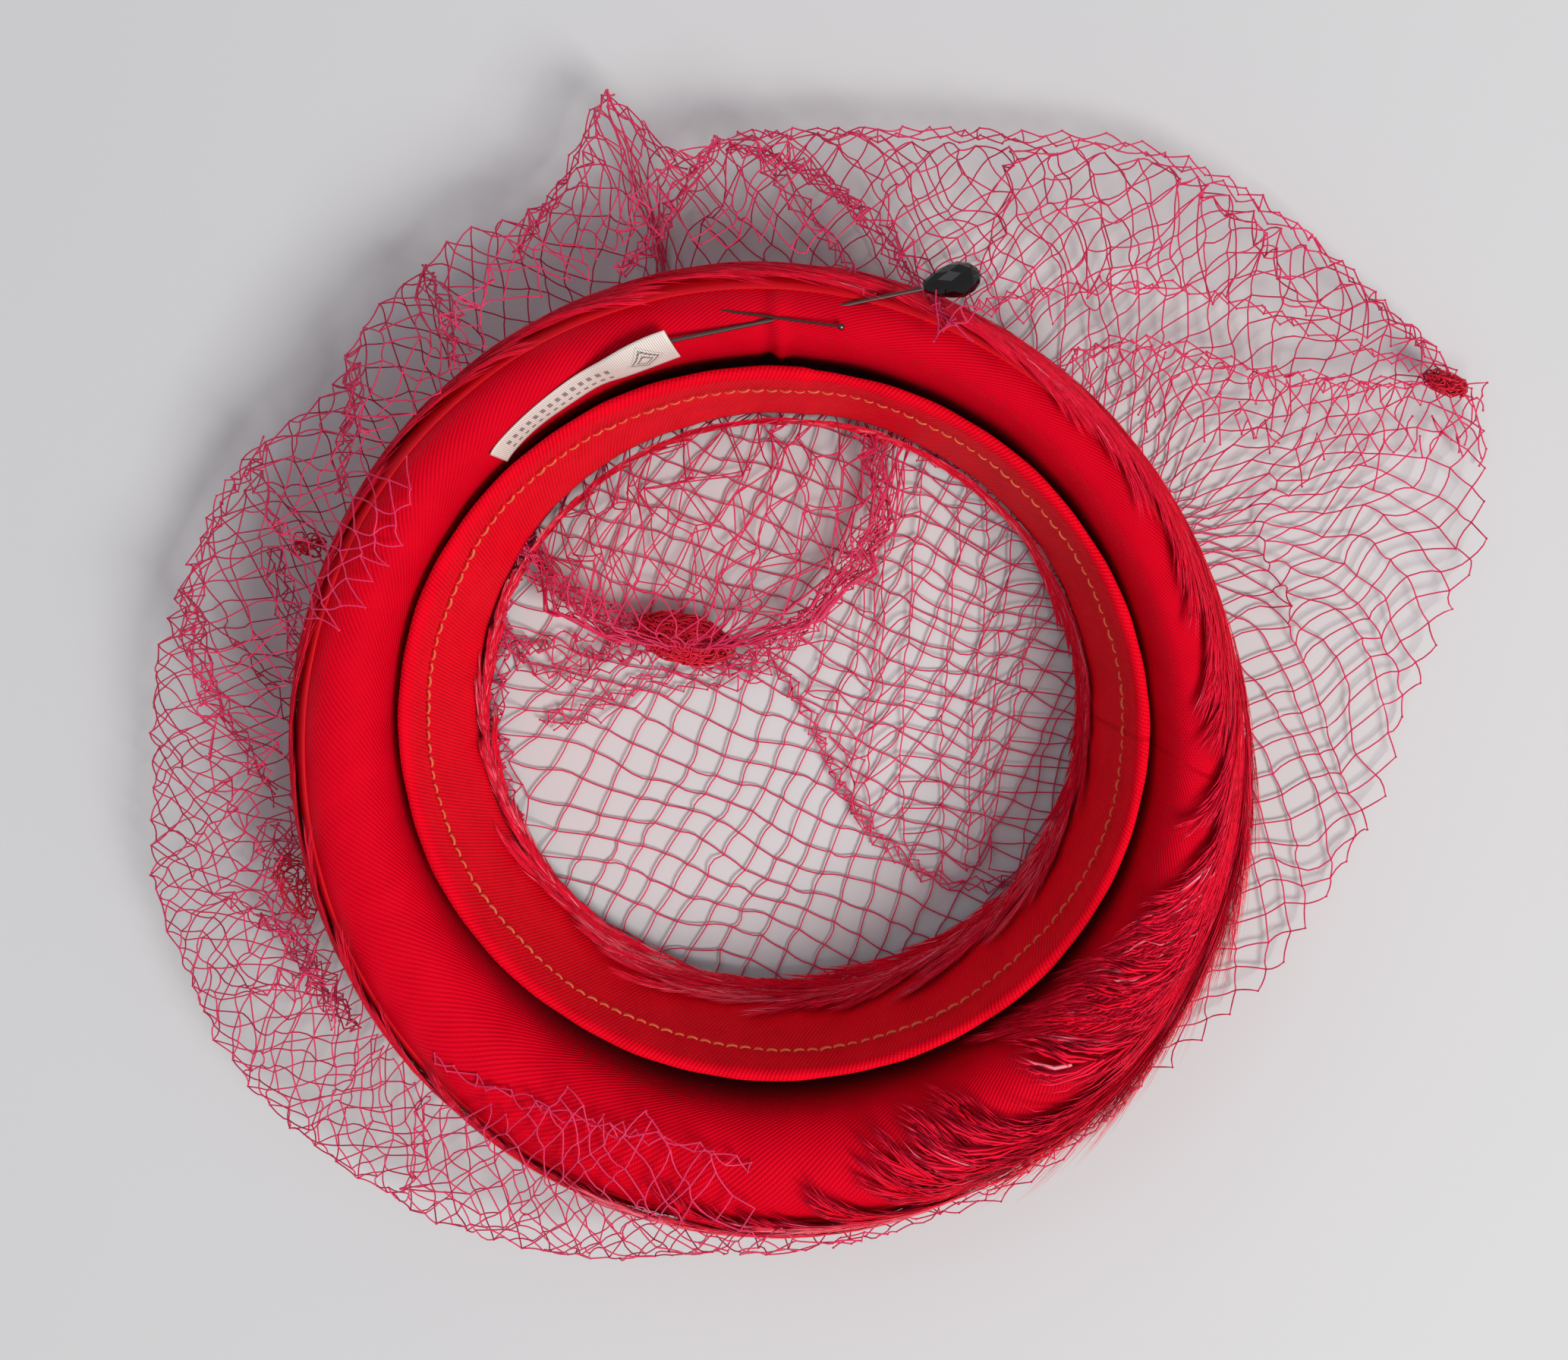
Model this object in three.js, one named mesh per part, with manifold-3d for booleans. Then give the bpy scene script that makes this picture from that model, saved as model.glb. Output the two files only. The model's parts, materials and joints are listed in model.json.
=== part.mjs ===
// Feather-covered ring hat with a net veil, lying crown down: its head opening faces +Z.
// Millimetres. The table is z = 0, and X runs along the longer side of the spread veil.

import * as THREE from 'three';
import { mergeVertices } from 'three/addons/utils/BufferGeometryUtils.js';
import Module from 'manifold-3d';

const wasm = await Module();
wasm.setup();

// Driving dimensions
const GAP = 0.3;                      // clearance between pieces that touch
const RING_CENTRE = [-5.4, -2.9];     // the ring lies off the middle of the spread veil
const SHELL_THICKNESS = 1.2;
const LINING_THICKNESS = 0.7;
const FEATHER_DEPTH = 3.7;
const WIRE_RADIUS = 0.8;
const NET_THICKNESS = 0.8;
const NET_FLOOR_RADIUS = 74;
const BANDEAU_OVAL = 0.96;            // width over length of the head opening
const BANDEAU_SHIFT = 1.7;            // the head opening sits towards +Y in the ring
const BANDEAU_FOOT = { radius: 76, z: 9 };
const BANDEAU_FOLD = { radius: 85.5, z: 43.5 };
const COVER_THICKNESS = 0.6;
const CORE_THICKNESS = 0.7;
const TOPSTITCH_DROP = 10;            // from the fold to the row of stitches
const TOPSTITCH_RADIUS = 0.3;
const LABEL = { from: 102, to: 134, thickness: 0.5 };
const OUTER_PADS = 16;
const CROWN_PADS = 8;
const VEIL_PANELS = 10;
const HAT_PIN = { bead: [34.4, 102.4, 48.4], point: [-33, 88.6, 53.8], radius: 0.5 };
const BEAD = { length: 13.3, radius: 4 };
const STRAIGHT_PIN = { head: [15.7, 94.3, 53.2], point: [-10, 97.8, 51.2], radius: 0.3 };
const STRAIGHT_PIN_HEAD_RADIUS = 0.8;
const PIN_CLEARANCE = 0.35;

// Section of the brim as [radius, z], from the crown's edge out, up, over the rim and down inside
const BRIM_SECTION = [
  [76.5, 7.2], [83, 5.9], [92, 7], [100, 12.5], [104.3, 24], [104.5, 37],
  [102.6, 45], [98.6, 49.4], [94.4, 48.6], [90.4, 42.5], [88, 30], [86.2, 18], [84.8, 9.5],
];
// The brim is wider at the front (-Y) and the left: its outer part is stretched and moved that way
const BRIM_DRAW = { from: 87, to: 103, stretch: [1.02, 1.048], shift: [-2.2, -6] };
const SECTION_STEPS = 18;             // the layers below start and end at these steps along it
const FEATHER_SPAN = [0, 9];
const LINING_SPAN = [10, 18];
const LABEL_SPAN = [12, 14];
const TURN_STEPS = 48;

// Spread of the veil on the table as [angle in degrees, radius from the ring's centre]
const VEIL_EDGE = [
  [0, 152], [24, 181], [44, 168], [58, 155], [76, 141], [96, 138], [105, 149], [116, 138],
  [135, 138], [155, 143], [180, 157], [215, 167], [235, 159], [262, 138], [285, 131],
  [318, 131], [340, 141],
];
const VEIL_HEM_HEIGHT = 16;

const COLOURS = {
  feather: '#b3122a', featherTip: '#c8384a', twill: '#c60f2b', buckram: '#d8cfc0',
  wire: '#8f9094', stitch: '#ee9a4c', label: '#e9e5da', net: '#d0345f', glass: '#0b0b0d',
  steel: '#b9bcc0',
};

const hat = new THREE.Group();
const ring = new THREE.Group();       // everything is placed from the ring's centre
ring.position.set(...RING_CENTRE, 0);
hat.add(ring);

const cloth = (colour) => new THREE.MeshStandardMaterial({ color: colour, roughness: 0.9 });
const steel = new THREE.MeshStandardMaterial({ color: COLOURS.steel, roughness: 0.3, metalness: 1 });
const glass = new THREE.MeshStandardMaterial({ color: COLOURS.glass, roughness: 0.08 });

function add(name, geometry, material) {
  const mesh = new THREE.Mesh(geometry, material);
  mesh.name = name;
  ring.add(mesh);
  return mesh;
}

// Sections

const radians = THREE.MathUtils.degToRad;

// Points along the brim's section, between two of its steps
function brim(from = 0, to = SECTION_STEPS) {
  const curve = new THREE.SplineCurve(BRIM_SECTION.map(([r, z]) => new THREE.Vector2(r, z)));
  return Array.from({ length: to - from + 1 }, (_, i) => curve.getPoint((from + i) / SECTION_STEPS));
}

// Closed outline of a layer on a line, between two distances to the line's right-hand side
function layer(line, near, far) {
  const side = (distance) => line.map((point, i) => {
    const before = line[Math.max(i - 1, 0)];
    const after = line[Math.min(i + 1, line.length - 1)];
    const along = after.clone().sub(before).normalize();
    return new THREE.Vector2(point.x + along.y * distance, point.y - along.x * distance);
  });
  return [...side(near), ...side(far).reverse()];
}

// Solids

function solid(positions, indices) {
  const geometry = new THREE.BufferGeometry();
  geometry.setAttribute('position', new THREE.Float32BufferAttribute(positions, 3));
  geometry.setIndex(indices);
  return facingOut(geometry);
}

function facingOut(geometry) {
  const { array } = geometry.attributes.position;
  const index = geometry.index.array;
  const corner = (i) => new THREE.Vector3().fromArray(array, 3 * index[i]);
  let volume = 0;
  for (let i = 0; i < index.length; i += 3) {
    volume += corner(i).dot(corner(i + 1).cross(corner(i + 2)));
  }
  if (volume < 0) {
    for (let i = 0; i < index.length; i += 3) [index[i], index[i + 1]] = [index[i + 1], index[i]];
  }
  geometry.computeVertexNormals();
  return geometry;
}

// Moves a piece of the brim with the draw towards the front and left
function drawn(geometry) {
  const { from, to, stretch, shift } = BRIM_DRAW;
  const { position } = geometry.attributes;
  for (let i = 0; i < position.count; i++) {
    const [x, y] = [position.getX(i), position.getY(i)];
    const share = THREE.MathUtils.smoothstep(Math.hypot(x, y), from, to);
    position.setXY(i, x + share * ((stretch[0] - 1) * x + shift[0]),
      y + share * ((stretch[1] - 1) * y + shift[1]));
  }
  geometry.computeVertexNormals();
  return geometry;
}

// A closed outline turned all the way round the hat
function turned(outline) {
  return swept(() => outline, 0, 360, TURN_STEPS);
}

// A solid whose outline may change with the angle, in degrees, between two angles
function swept(outlineAt, from, to, steps) {
  const whole = to - from >= 360;
  const rows = whole ? steps : steps + 1;
  const count = outlineAt(from).length;
  const section = (degrees) => anticlockwise(outlineAt(degrees));
  const positions = [];
  const indices = [];
  for (let row = 0; row < rows; row++) {
    const degrees = from + (to - from) * row / steps;
    for (const { x, y } of section(degrees)) {
      positions.push(x * Math.cos(radians(degrees)), x * Math.sin(radians(degrees)), y);
    }
  }
  for (let row = 0; row < steps; row++) {
    const here = row * count;
    const next = ((row + 1) % rows) * count;
    for (let i = 0; i < count; i++) {
      const j = (i + 1) % count;
      indices.push(here + i, here + j, next + j, here + i, next + j, next + i);
    }
  }
  if (!whole) {
    const first = THREE.ShapeUtils.triangulateShape(section(from), []);
    const last = THREE.ShapeUtils.triangulateShape(section(to), []);
    const offset = steps * count;
    for (const [a, b, c] of first) indices.push(c, b, a);
    for (const [a, b, c] of last) indices.push(offset + a, offset + b, offset + c);
  }
  return solid(positions, indices);
}

// End caps are cut anticlockwise, so the sides must run the same way
function anticlockwise(outline) {
  return THREE.ShapeUtils.isClockWise(outline) ? [...outline].reverse() : outline;
}

function asManifold(geometry) {
  const bare = geometry.clone();
  bare.deleteAttribute('normal');
  if (bare.attributes.uv) bare.deleteAttribute('uv');
  const merged = mergeVertices(bare, 1e-4);
  return new wasm.Manifold(new wasm.Mesh({
    numProp: 3,
    vertProperties: new Float32Array(merged.attributes.position.array),
    triVerts: new Uint32Array(merged.index.array),
  }));
}

function fromManifold(manifold) {
  const { vertProperties, triVerts, numProp } = manifold.getMesh();
  const positions = [];
  for (let i = 0; i < vertProperties.length; i += numProp) {
    positions.push(vertProperties[i], vertProperties[i + 1], vertProperties[i + 2]);
  }
  return solid(positions, Array.from(triVerts));
}

// A rod between two points, a little longer at each end by `extra`
function rod(start, end, radius, sides, extra = 0) {
  const a = new THREE.Vector3(...start);
  const b = new THREE.Vector3(...end);
  const along = b.clone().sub(a).normalize();
  const length = a.distanceTo(b) + 2 * extra;
  const geometry = new THREE.CylinderGeometry(radius, radius, length, sides);
  geometry.applyQuaternion(new THREE.Quaternion().setFromUnitVectors(new THREE.Vector3(0, 1, 0), along));
  const middle = a.add(b).multiplyScalar(0.5);
  return geometry.translate(middle.x, middle.y, middle.z);
}

// The two pins' channels, cut from every piece that they pass through
const channels = [HAT_PIN, STRAIGHT_PIN].map((pin) => asManifold(
  rod(pin.bead ?? pin.head, pin.point, pin.radius + PIN_CLEARANCE, 8, 1)));

function pierced(geometry) {
  let piece = asManifold(geometry);
  for (const channel of channels) piece = piece.subtract(channel);
  return fromManifold(piece);
}

// Brim: buckram shell, its two wires and the twill lining
const shellHalf = SHELL_THICKNESS / 2;
const liningNear = shellHalf + GAP;
const liningFar = liningNear + LINING_THICKNESS;

add('buckram_shell',
  pierced(drawn(turned(layer(brim(), -shellHalf, shellHalf)))),
  cloth(COLOURS.buckram));

add('brim_lining',
  pierced(drawn(turned(layer(brim(...LINING_SPAN), liningNear, liningFar)))),
  cloth(COLOURS.twill));

function wire(name, radius, z) {
  const geometry = new THREE.TorusGeometry(radius, WIRE_RADIUS, 8, TURN_STEPS).translate(0, 0, z);
  add(name, drawn(geometry), new THREE.MeshStandardMaterial({
    color: COLOURS.wire, roughness: 0.5, metalness: 0.6,
  }));
}
wire('rim_wire', 97.6, 45.2);
wire('crown_wire', 80.5, 8.4);

// Bandeau: the steep band that sits on the head, with its folded cover and row of stitches
const oval = (geometry) => geometry.scale(1, BANDEAU_OVAL, 1).translate(0, BANDEAU_SHIFT, 0);
const bandeauLine = (push, low, high) => [
  new THREE.Vector2(BANDEAU_FOOT.radius + push, low),
  new THREE.Vector2(BANDEAU_FOLD.radius + push, high),
];
const foldHalf = CORE_THICKNESS / 2 + GAP + COVER_THICKNESS / 2 + 0.05;

function bandeauCover() {
  const { radius, z } = BANDEAU_FOLD;
  const line = [
    [BANDEAU_FOOT.radius - foldHalf, BANDEAU_FOOT.z], [(BANDEAU_FOOT.radius + radius) / 2 - foldHalf,
      (BANDEAU_FOOT.z + z) / 2], [radius - foldHalf - 0.1, z - 1.2], [radius - 0.2, z],
    [radius + foldHalf, z - 1.2], [(BANDEAU_FOOT.radius + radius) / 2 + foldHalf,
      (BANDEAU_FOOT.z + z) / 2], [BANDEAU_FOOT.radius + foldHalf, BANDEAU_FOOT.z],
  ].map(([r, height]) => new THREE.Vector2(r, height));
  return oval(turned(layer(line, -COVER_THICKNESS / 2, COVER_THICKNESS / 2)));
}
add('bandeau_cover', bandeauCover(), cloth(COLOURS.twill));
add('bandeau_core',
  oval(turned(layer(bandeauLine(0, BANDEAU_FOOT.z, BANDEAU_FOLD.z - 2), -CORE_THICKNESS / 2,
    CORE_THICKNESS / 2))),
  cloth(COLOURS.buckram));

function topstitch() {
  const z = BANDEAU_FOLD.z - TOPSTITCH_DROP;
  const rise = (z - BANDEAU_FOOT.z) / (BANDEAU_FOLD.z - BANDEAU_FOOT.z);
  const face = THREE.MathUtils.lerp(BANDEAU_FOOT.radius, BANDEAU_FOLD.radius, rise) - foldHalf;
  const radius = face - COVER_THICKNESS / 2 - GAP - TOPSTITCH_RADIUS - 0.1;
  return oval(new THREE.TorusGeometry(radius, TOPSTITCH_RADIUS, 6, TURN_STEPS).translate(0, 0, z));
}
add('bandeau_topstitch', topstitch(), cloth(COLOURS.stitch));

// Woven label on the lining
const labelNear = liningFar + GAP;
add('label',
  pierced(drawn(swept(() => layer(brim(...LABEL_SPAN), labelNear,
    labelNear + LABEL.thickness), LABEL.from, LABEL.to, 10))),
  cloth(COLOURS.label));

// Feathers: pads round the outside, and smaller ones over the crown's edge
function pads(name, count, steps, outline, material) {
  const turn = 360 / count;
  for (let i = 0; i < count; i++) {
    const margin = 0.12;
    const geometry = swept(() => outline, i * turn + margin, (i + 1) * turn - margin, steps);
    add(`${name}_${String(i + 1).padStart(2, '0')}`, pierced(drawn(geometry)), material);
  }
}
const outerOutline = layer(brim(...FEATHER_SPAN), liningNear,
  liningNear + FEATHER_DEPTH);
pads('outer_feathers', OUTER_PADS, 3, outerOutline, cloth(COLOURS.feather));

const crownOutline = [[74.9, 1.3], [64.5, 2.2], [63.5, 3.6], [70, 7.4], [74.9, 8.2]]
  .map(([r, z]) => new THREE.Vector2(r, z));
pads('crown_feathers', CROWN_PADS, 4, crownOutline, cloth(COLOURS.featherTip));

// Veil: the net across the crown, its knot, and the net spread round the ring
const net = cloth(COLOURS.net);
add('crown_net',
  new THREE.CylinderGeometry(NET_FLOOR_RADIUS, NET_FLOOR_RADIUS, NET_THICKNESS, 48)
    .rotateX(Math.PI / 2).translate(0, 0, NET_THICKNESS / 2),
  net);

// A gathered bunch of net, resting above the sheet below it
function bunch(name, [x, y], [length, width, height], degrees) {
  const geometry = new THREE.SphereGeometry(0.5, 14, 8).rotateX(Math.PI / 2)
    .scale(length, width, height).rotateZ(radians(degrees))
    .translate(x, y, NET_THICKNESS + GAP + height / 2);
  add(name, geometry, net);
}
bunch('centre_knot', [-27, 20], [25, 13, 11], -35);

function edgeRadius(degrees) {
  const last = VEIL_EDGE.length;
  const turns = ((degrees % 360) + 360) % 360;
  let i = VEIL_EDGE.findIndex(([angle]) => angle > turns);
  if (i < 0) i = last;
  const [fromAngle, fromRadius] = i > 0 ? VEIL_EDGE[i - 1] : [VEIL_EDGE[last - 1][0] - 360, VEIL_EDGE[last - 1][1]];
  const [toAngle, toRadius] = i < last ? VEIL_EDGE[i] : [VEIL_EDGE[0][0] + 360, VEIL_EDGE[0][1]];
  const share = THREE.MathUtils.smoothstep(turns, fromAngle, toAngle);
  return THREE.MathUtils.lerp(fromRadius, toRadius, share);
}

// Flat on the table under the ring, then curling up to its hem
function veilOutline(degrees) {
  const reach = edgeRadius(degrees) - NET_THICKNESS / 2;
  const floor = NET_THICKNESS / 2;
  const line = [[77, floor], [reach - 13, floor], [reach - 4, floor + 3], [reach - 0.6, floor + 8],
    [reach, VEIL_HEM_HEIGHT]];
  return layer(line.map(([r, z]) => new THREE.Vector2(r, z)), -NET_THICKNESS / 2, NET_THICKNESS / 2);
}
for (let i = 0; i < VEIL_PANELS; i++) {
  const turn = 360 / VEIL_PANELS;
  const margin = 0.12;
  const geometry = swept(veilOutline, i * turn + margin, (i + 1) * turn - margin, 8);
  add(`veil_panel_${String(i + 1).padStart(2, '0')}`, geometry, net);
}
bunch('veil_tie_right', [138, 70], [12, 7, 7], 27);
bunch('veil_tie_upper_left', [-112, 43], [8, 6, 6], 158);
bunch('veil_tie_lower_left', [-118, -43], [9, 6, 6], 20);

// Pins
function hatPinBead() {
  const outline = [[0, 0], [1.2, 0.5], [2.6, 3.2], [BEAD.radius, 8.2], [3.6, 10.8], [2, 12.8], [0, BEAD.length]]
    .map(([r, z]) => new THREE.Vector2(r, z));
  const geometry = new THREE.LatheGeometry(outline, 10);
  const base = new THREE.Vector3(...HAT_PIN.bead);
  const out = base.clone().sub(new THREE.Vector3(...HAT_PIN.point)).normalize();
  geometry.applyQuaternion(new THREE.Quaternion().setFromUnitVectors(new THREE.Vector3(0, 1, 0), out));
  const seat = base.addScaledVector(out, GAP);
  return geometry.translate(seat.x, seat.y, seat.z);
}
add('hat_pin_shaft', rod(HAT_PIN.bead, HAT_PIN.point, HAT_PIN.radius, 10), steel);
add('hat_pin_bead', hatPinBead(), glass);

add('straight_pin_shaft',
  rod(STRAIGHT_PIN.head, STRAIGHT_PIN.point, STRAIGHT_PIN.radius, 8), steel);
const pinOut = new THREE.Vector3(...STRAIGHT_PIN.head)
  .sub(new THREE.Vector3(...STRAIGHT_PIN.point)).normalize();
const headCentre = new THREE.Vector3(...STRAIGHT_PIN.head)
  .addScaledVector(pinOut, STRAIGHT_PIN_HEAD_RADIUS + GAP);
add('straight_pin_head',
  new THREE.SphereGeometry(STRAIGHT_PIN_HEAD_RADIUS, 12, 8)
    .translate(headCentre.x, headCentre.y, headCentre.z),
  steel);

export default hat;
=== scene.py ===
"""A feather-covered ring hat with a net veil, lying crown down on a pale table, looked into from above.

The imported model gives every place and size. Lengths are written in millimetres and turned to metres
where a mesh is made. Angles round the ring are in degrees, anticlockwise from +X as seen from above.
"""

import json
import math

import bmesh
import bpy
import numpy as np
from mathutils import Matrix, Vector


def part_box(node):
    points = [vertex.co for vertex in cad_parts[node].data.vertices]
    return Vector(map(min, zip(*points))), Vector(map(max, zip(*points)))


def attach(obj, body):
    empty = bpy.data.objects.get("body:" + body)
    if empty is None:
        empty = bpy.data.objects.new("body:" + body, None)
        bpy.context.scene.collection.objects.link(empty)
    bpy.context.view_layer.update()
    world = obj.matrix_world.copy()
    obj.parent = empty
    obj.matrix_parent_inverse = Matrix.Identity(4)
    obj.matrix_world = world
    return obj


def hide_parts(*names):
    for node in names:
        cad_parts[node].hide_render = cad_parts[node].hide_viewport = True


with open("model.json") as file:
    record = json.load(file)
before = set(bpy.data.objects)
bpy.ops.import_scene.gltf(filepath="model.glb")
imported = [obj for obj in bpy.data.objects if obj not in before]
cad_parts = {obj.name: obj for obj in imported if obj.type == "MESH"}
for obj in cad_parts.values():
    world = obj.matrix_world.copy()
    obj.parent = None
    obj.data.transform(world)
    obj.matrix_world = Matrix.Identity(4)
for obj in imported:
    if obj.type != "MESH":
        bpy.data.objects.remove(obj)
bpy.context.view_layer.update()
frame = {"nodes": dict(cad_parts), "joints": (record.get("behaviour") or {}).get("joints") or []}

# ---- Table, light and camera ----
# A pale seamless table, lit by a large soft source from the lower right, with a weaker fill from the
# upper left, so that the inner wall glows on the left and the crown's shade falls towards the left.

MM = 0.001


def middle(node):
    """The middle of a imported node's box, in millimetres."""
    low, high = (np.array(corner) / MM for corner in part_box(node))
    return (low + high) / 2


# The ring's centre on the table. The bandeau's own centre lies a little behind it.
BANDEAU_SHIFT = (0, 1.7)
RING = middle("bandeau_cover") * (1, 1, 0) - (*BANDEAU_SHIFT, 0)


def linear(hex_colour):
    """An sRGB hex colour as linear RGBA."""
    values = [int(hex_colour[i:i + 2], 16) / 255 for i in (1, 3, 5)]
    return [v / 12.92 if v <= 0.04045 else ((v + 0.055) / 1.055) ** 2.4 for v in values] + [1.0]


def add_node(tree, kind, inputs=None, **settings):
    """Adds one node. An input is given a value, or linked where a socket is given."""
    node = tree.nodes.new(kind)
    for name, value in settings.items():
        setattr(node, name, value)
    for name, value in (inputs or {}).items():
        socket = node.inputs[name]
        if isinstance(value, bpy.types.NodeSocket):
            tree.links.new(value, socket)
        else:
            socket.default_value = value
    return node


def new_material(name):
    """A material with an empty tree and its output node."""
    material = bpy.data.materials.new(name)
    material.use_nodes = True
    material.node_tree.nodes.clear()
    return material, material.node_tree, add_node(material.node_tree, "ShaderNodeOutputMaterial")


def mesh_object(name, vertices_mm, faces, material=None, smooth=True, edges=()):
    """A mesh at the origin, with its place in its points."""
    mesh = bpy.data.meshes.new(name)
    mesh.from_pydata((np.asarray(vertices_mm) * MM).tolist(), list(edges), faces)
    if smooth and len(mesh.polygons):
        mesh.polygons.foreach_set("use_smooth", [True] * len(mesh.polygons))
    if material:
        mesh.materials.append(material)
    mesh.update()
    piece = bpy.data.objects.new(name, mesh)
    bpy.context.scene.collection.objects.link(piece)
    return piece


def painted_board():
    """Board with matt white paint: no gloss, and faint broad clouds where it has dulled."""
    material, tree, out = new_material("matt_white_board")
    place = add_node(tree, "ShaderNodeTexCoord")
    cloudy = add_node(tree, "ShaderNodeTexNoise", {"Vector": place.outputs["Object"], "Scale": 3.0})
    tint = add_node(tree, "ShaderNodeMix", {
        "Factor": cloudy.outputs["Fac"], "A": linear("#cacacc"),
        "B": linear("#c4c5c8")}, data_type="RGBA")
    shader = add_node(tree, "ShaderNodeBsdfPrincipled", {
        "Base Color": tint.outputs["Result"], "Roughness": 0.85})
    tree.links.new(shader.outputs["BSDF"], out.inputs["Surface"])
    return material


TABLE_HALF = 3000.0
TABLE_TOP = -0.2
table = mesh_object("table_top", [(x * TABLE_HALF, y * TABLE_HALF, TABLE_TOP)
                                  for x, y in ((-1, -1), (1, -1), (1, 1), (-1, 1))],
                    [(0, 1, 2, 3)], painted_board())


def area_light(name, place_mm, size_mm, watts, hex_colour):
    """A square soft light, turned towards the middle of the table."""
    light = bpy.data.lights.new(name, "AREA")
    light.size = size_mm * MM
    light.energy = watts
    light.color = linear(hex_colour)[:3]
    lamp = bpy.data.objects.new(name, light)
    lamp.location = Vector(place_mm) * MM
    lamp.rotation_euler = (-lamp.location).to_track_quat("-Z", "Y").to_euler()
    bpy.context.scene.collection.objects.link(lamp)


area_light("window", (1150, -780, 1750), 900, 48, "#fffdf8")
area_light("fill", (-700, 800, 1700), 1200, 4, "#f2f5ff")

ROOM_STRENGTH = 0.44
world = bpy.data.worlds.new("room")
bpy.context.scene.world = world
world.use_nodes = True
background = world.node_tree.nodes["Background"]
background.inputs["Color"].default_value = linear("#e9eaee")
background.inputs["Strength"].default_value = ROOM_STRENGTH
bpy.context.scene.view_settings.view_transform = "Standard"
bpy.context.scene.view_settings.look = "None"

# The camera looks almost straight down, leaning a little so that the hat's inner wall shows on its left
CAMERA_PLACE = Vector((39.2, 93.2, 592.4))
CAMERA_FORWARD = Vector((-0.07397, -0.14793, -0.98623)).normalized()
CAMERA_LENS = 55.6
camera_data = bpy.data.cameras.new("camera")
camera_data.lens = CAMERA_LENS
camera_data.clip_start = 0.01
camera = bpy.data.objects.new("camera", camera_data)
camera_right = CAMERA_FORWARD.cross(Vector((0, 1, 0))).normalized()
camera_up = camera_right.cross(CAMERA_FORWARD)
camera.matrix_world = Matrix.Translation(CAMERA_PLACE * MM) @ Matrix(
    (camera_right, camera_up, -CAMERA_FORWARD)).transposed().to_4x4()
bpy.context.scene.collection.objects.link(camera)
bpy.context.scene.camera = camera

# ---- Brim lining ----
# Red rayon twill, cut on the bias and eased over the wired rim and down the brim's inner wall. It is
# seamed once at the back, where it puckers, and lies in shallow pulls where the wadding is uneven.


def smooth_line(points, count):
    """Evenly spaced points on a smooth line through given points, with the line's own length."""
    knots = np.array(points, float)
    padded = np.vstack([2 * knots[0] - knots[1], knots, 2 * knots[-1] - knots[-2]])
    share = np.linspace(0, 1, 12, endpoint=False)[:, None]
    pieces = []
    for a, b, c, d in zip(padded, padded[1:], padded[2:], padded[3:]):
        pieces.append(0.5 * (2 * b + (c - a) * share + (2 * a - 5 * b + 4 * c - d) * share ** 2
                             + (3 * b - a - 3 * c + d) * share ** 3))
    fine = np.vstack(pieces + [knots[-1:]])
    run = np.concatenate([[0], np.cumsum(np.linalg.norm(np.diff(fine, axis=0), axis=1))])
    even = np.linspace(0, run[-1], count)
    return np.stack([np.interp(even, run, fine[:, axis]) for axis in range(fine.shape[1])],
                    axis=1), run[-1]


def section_normals(line):
    """Unit normals of a [radius, height] line, on its right-hand side."""
    along = np.gradient(line, axis=0)
    along /= np.linalg.norm(along, axis=1, keepdims=True)
    return np.stack([along[:, 1], -along[:, 0]], axis=1)


def set_uv(piece, uv_mm):
    """Gives each corner its point's place on the cloth, in millimetres."""
    layer = piece.data.uv_layers.new(name="cloth_mm")
    index = np.zeros(len(piece.data.loops), int)
    piece.data.loops.foreach_get("vertex_index", index)
    layer.data.foreach_set("uv", uv_mm[index].astype(np.float32).ravel())


# The brim is wider at the front and the left: its outer part is stretched and moved that way
BRIM_DRAW = {"from": 87, "to": 103, "stretch": (0.02, 0.048), "shift": (-2.2, -6.0)}


def eased(share):
    """A share from 0 to 1 that starts and ends gently."""
    return share * share * (3 - 2 * share)


def drawn_share(x, y):
    """How much of the drawing-out a place gets: none inside the crown, all of it at the rim."""
    reach = BRIM_DRAW["to"] - BRIM_DRAW["from"]
    return eased(np.clip((np.hypot(x, y) - BRIM_DRAW["from"]) / reach, 0, 1))


def drawn(x, y):
    """Moves places on the round brim, measured from the ring's centre, to where the brim is wider."""
    share = drawn_share(x, y)
    return (x + share * (BRIM_DRAW["stretch"][0] * x + BRIM_DRAW["shift"][0]),
            y + share * (BRIM_DRAW["stretch"][1] * y + BRIM_DRAW["shift"][1]))


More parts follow.
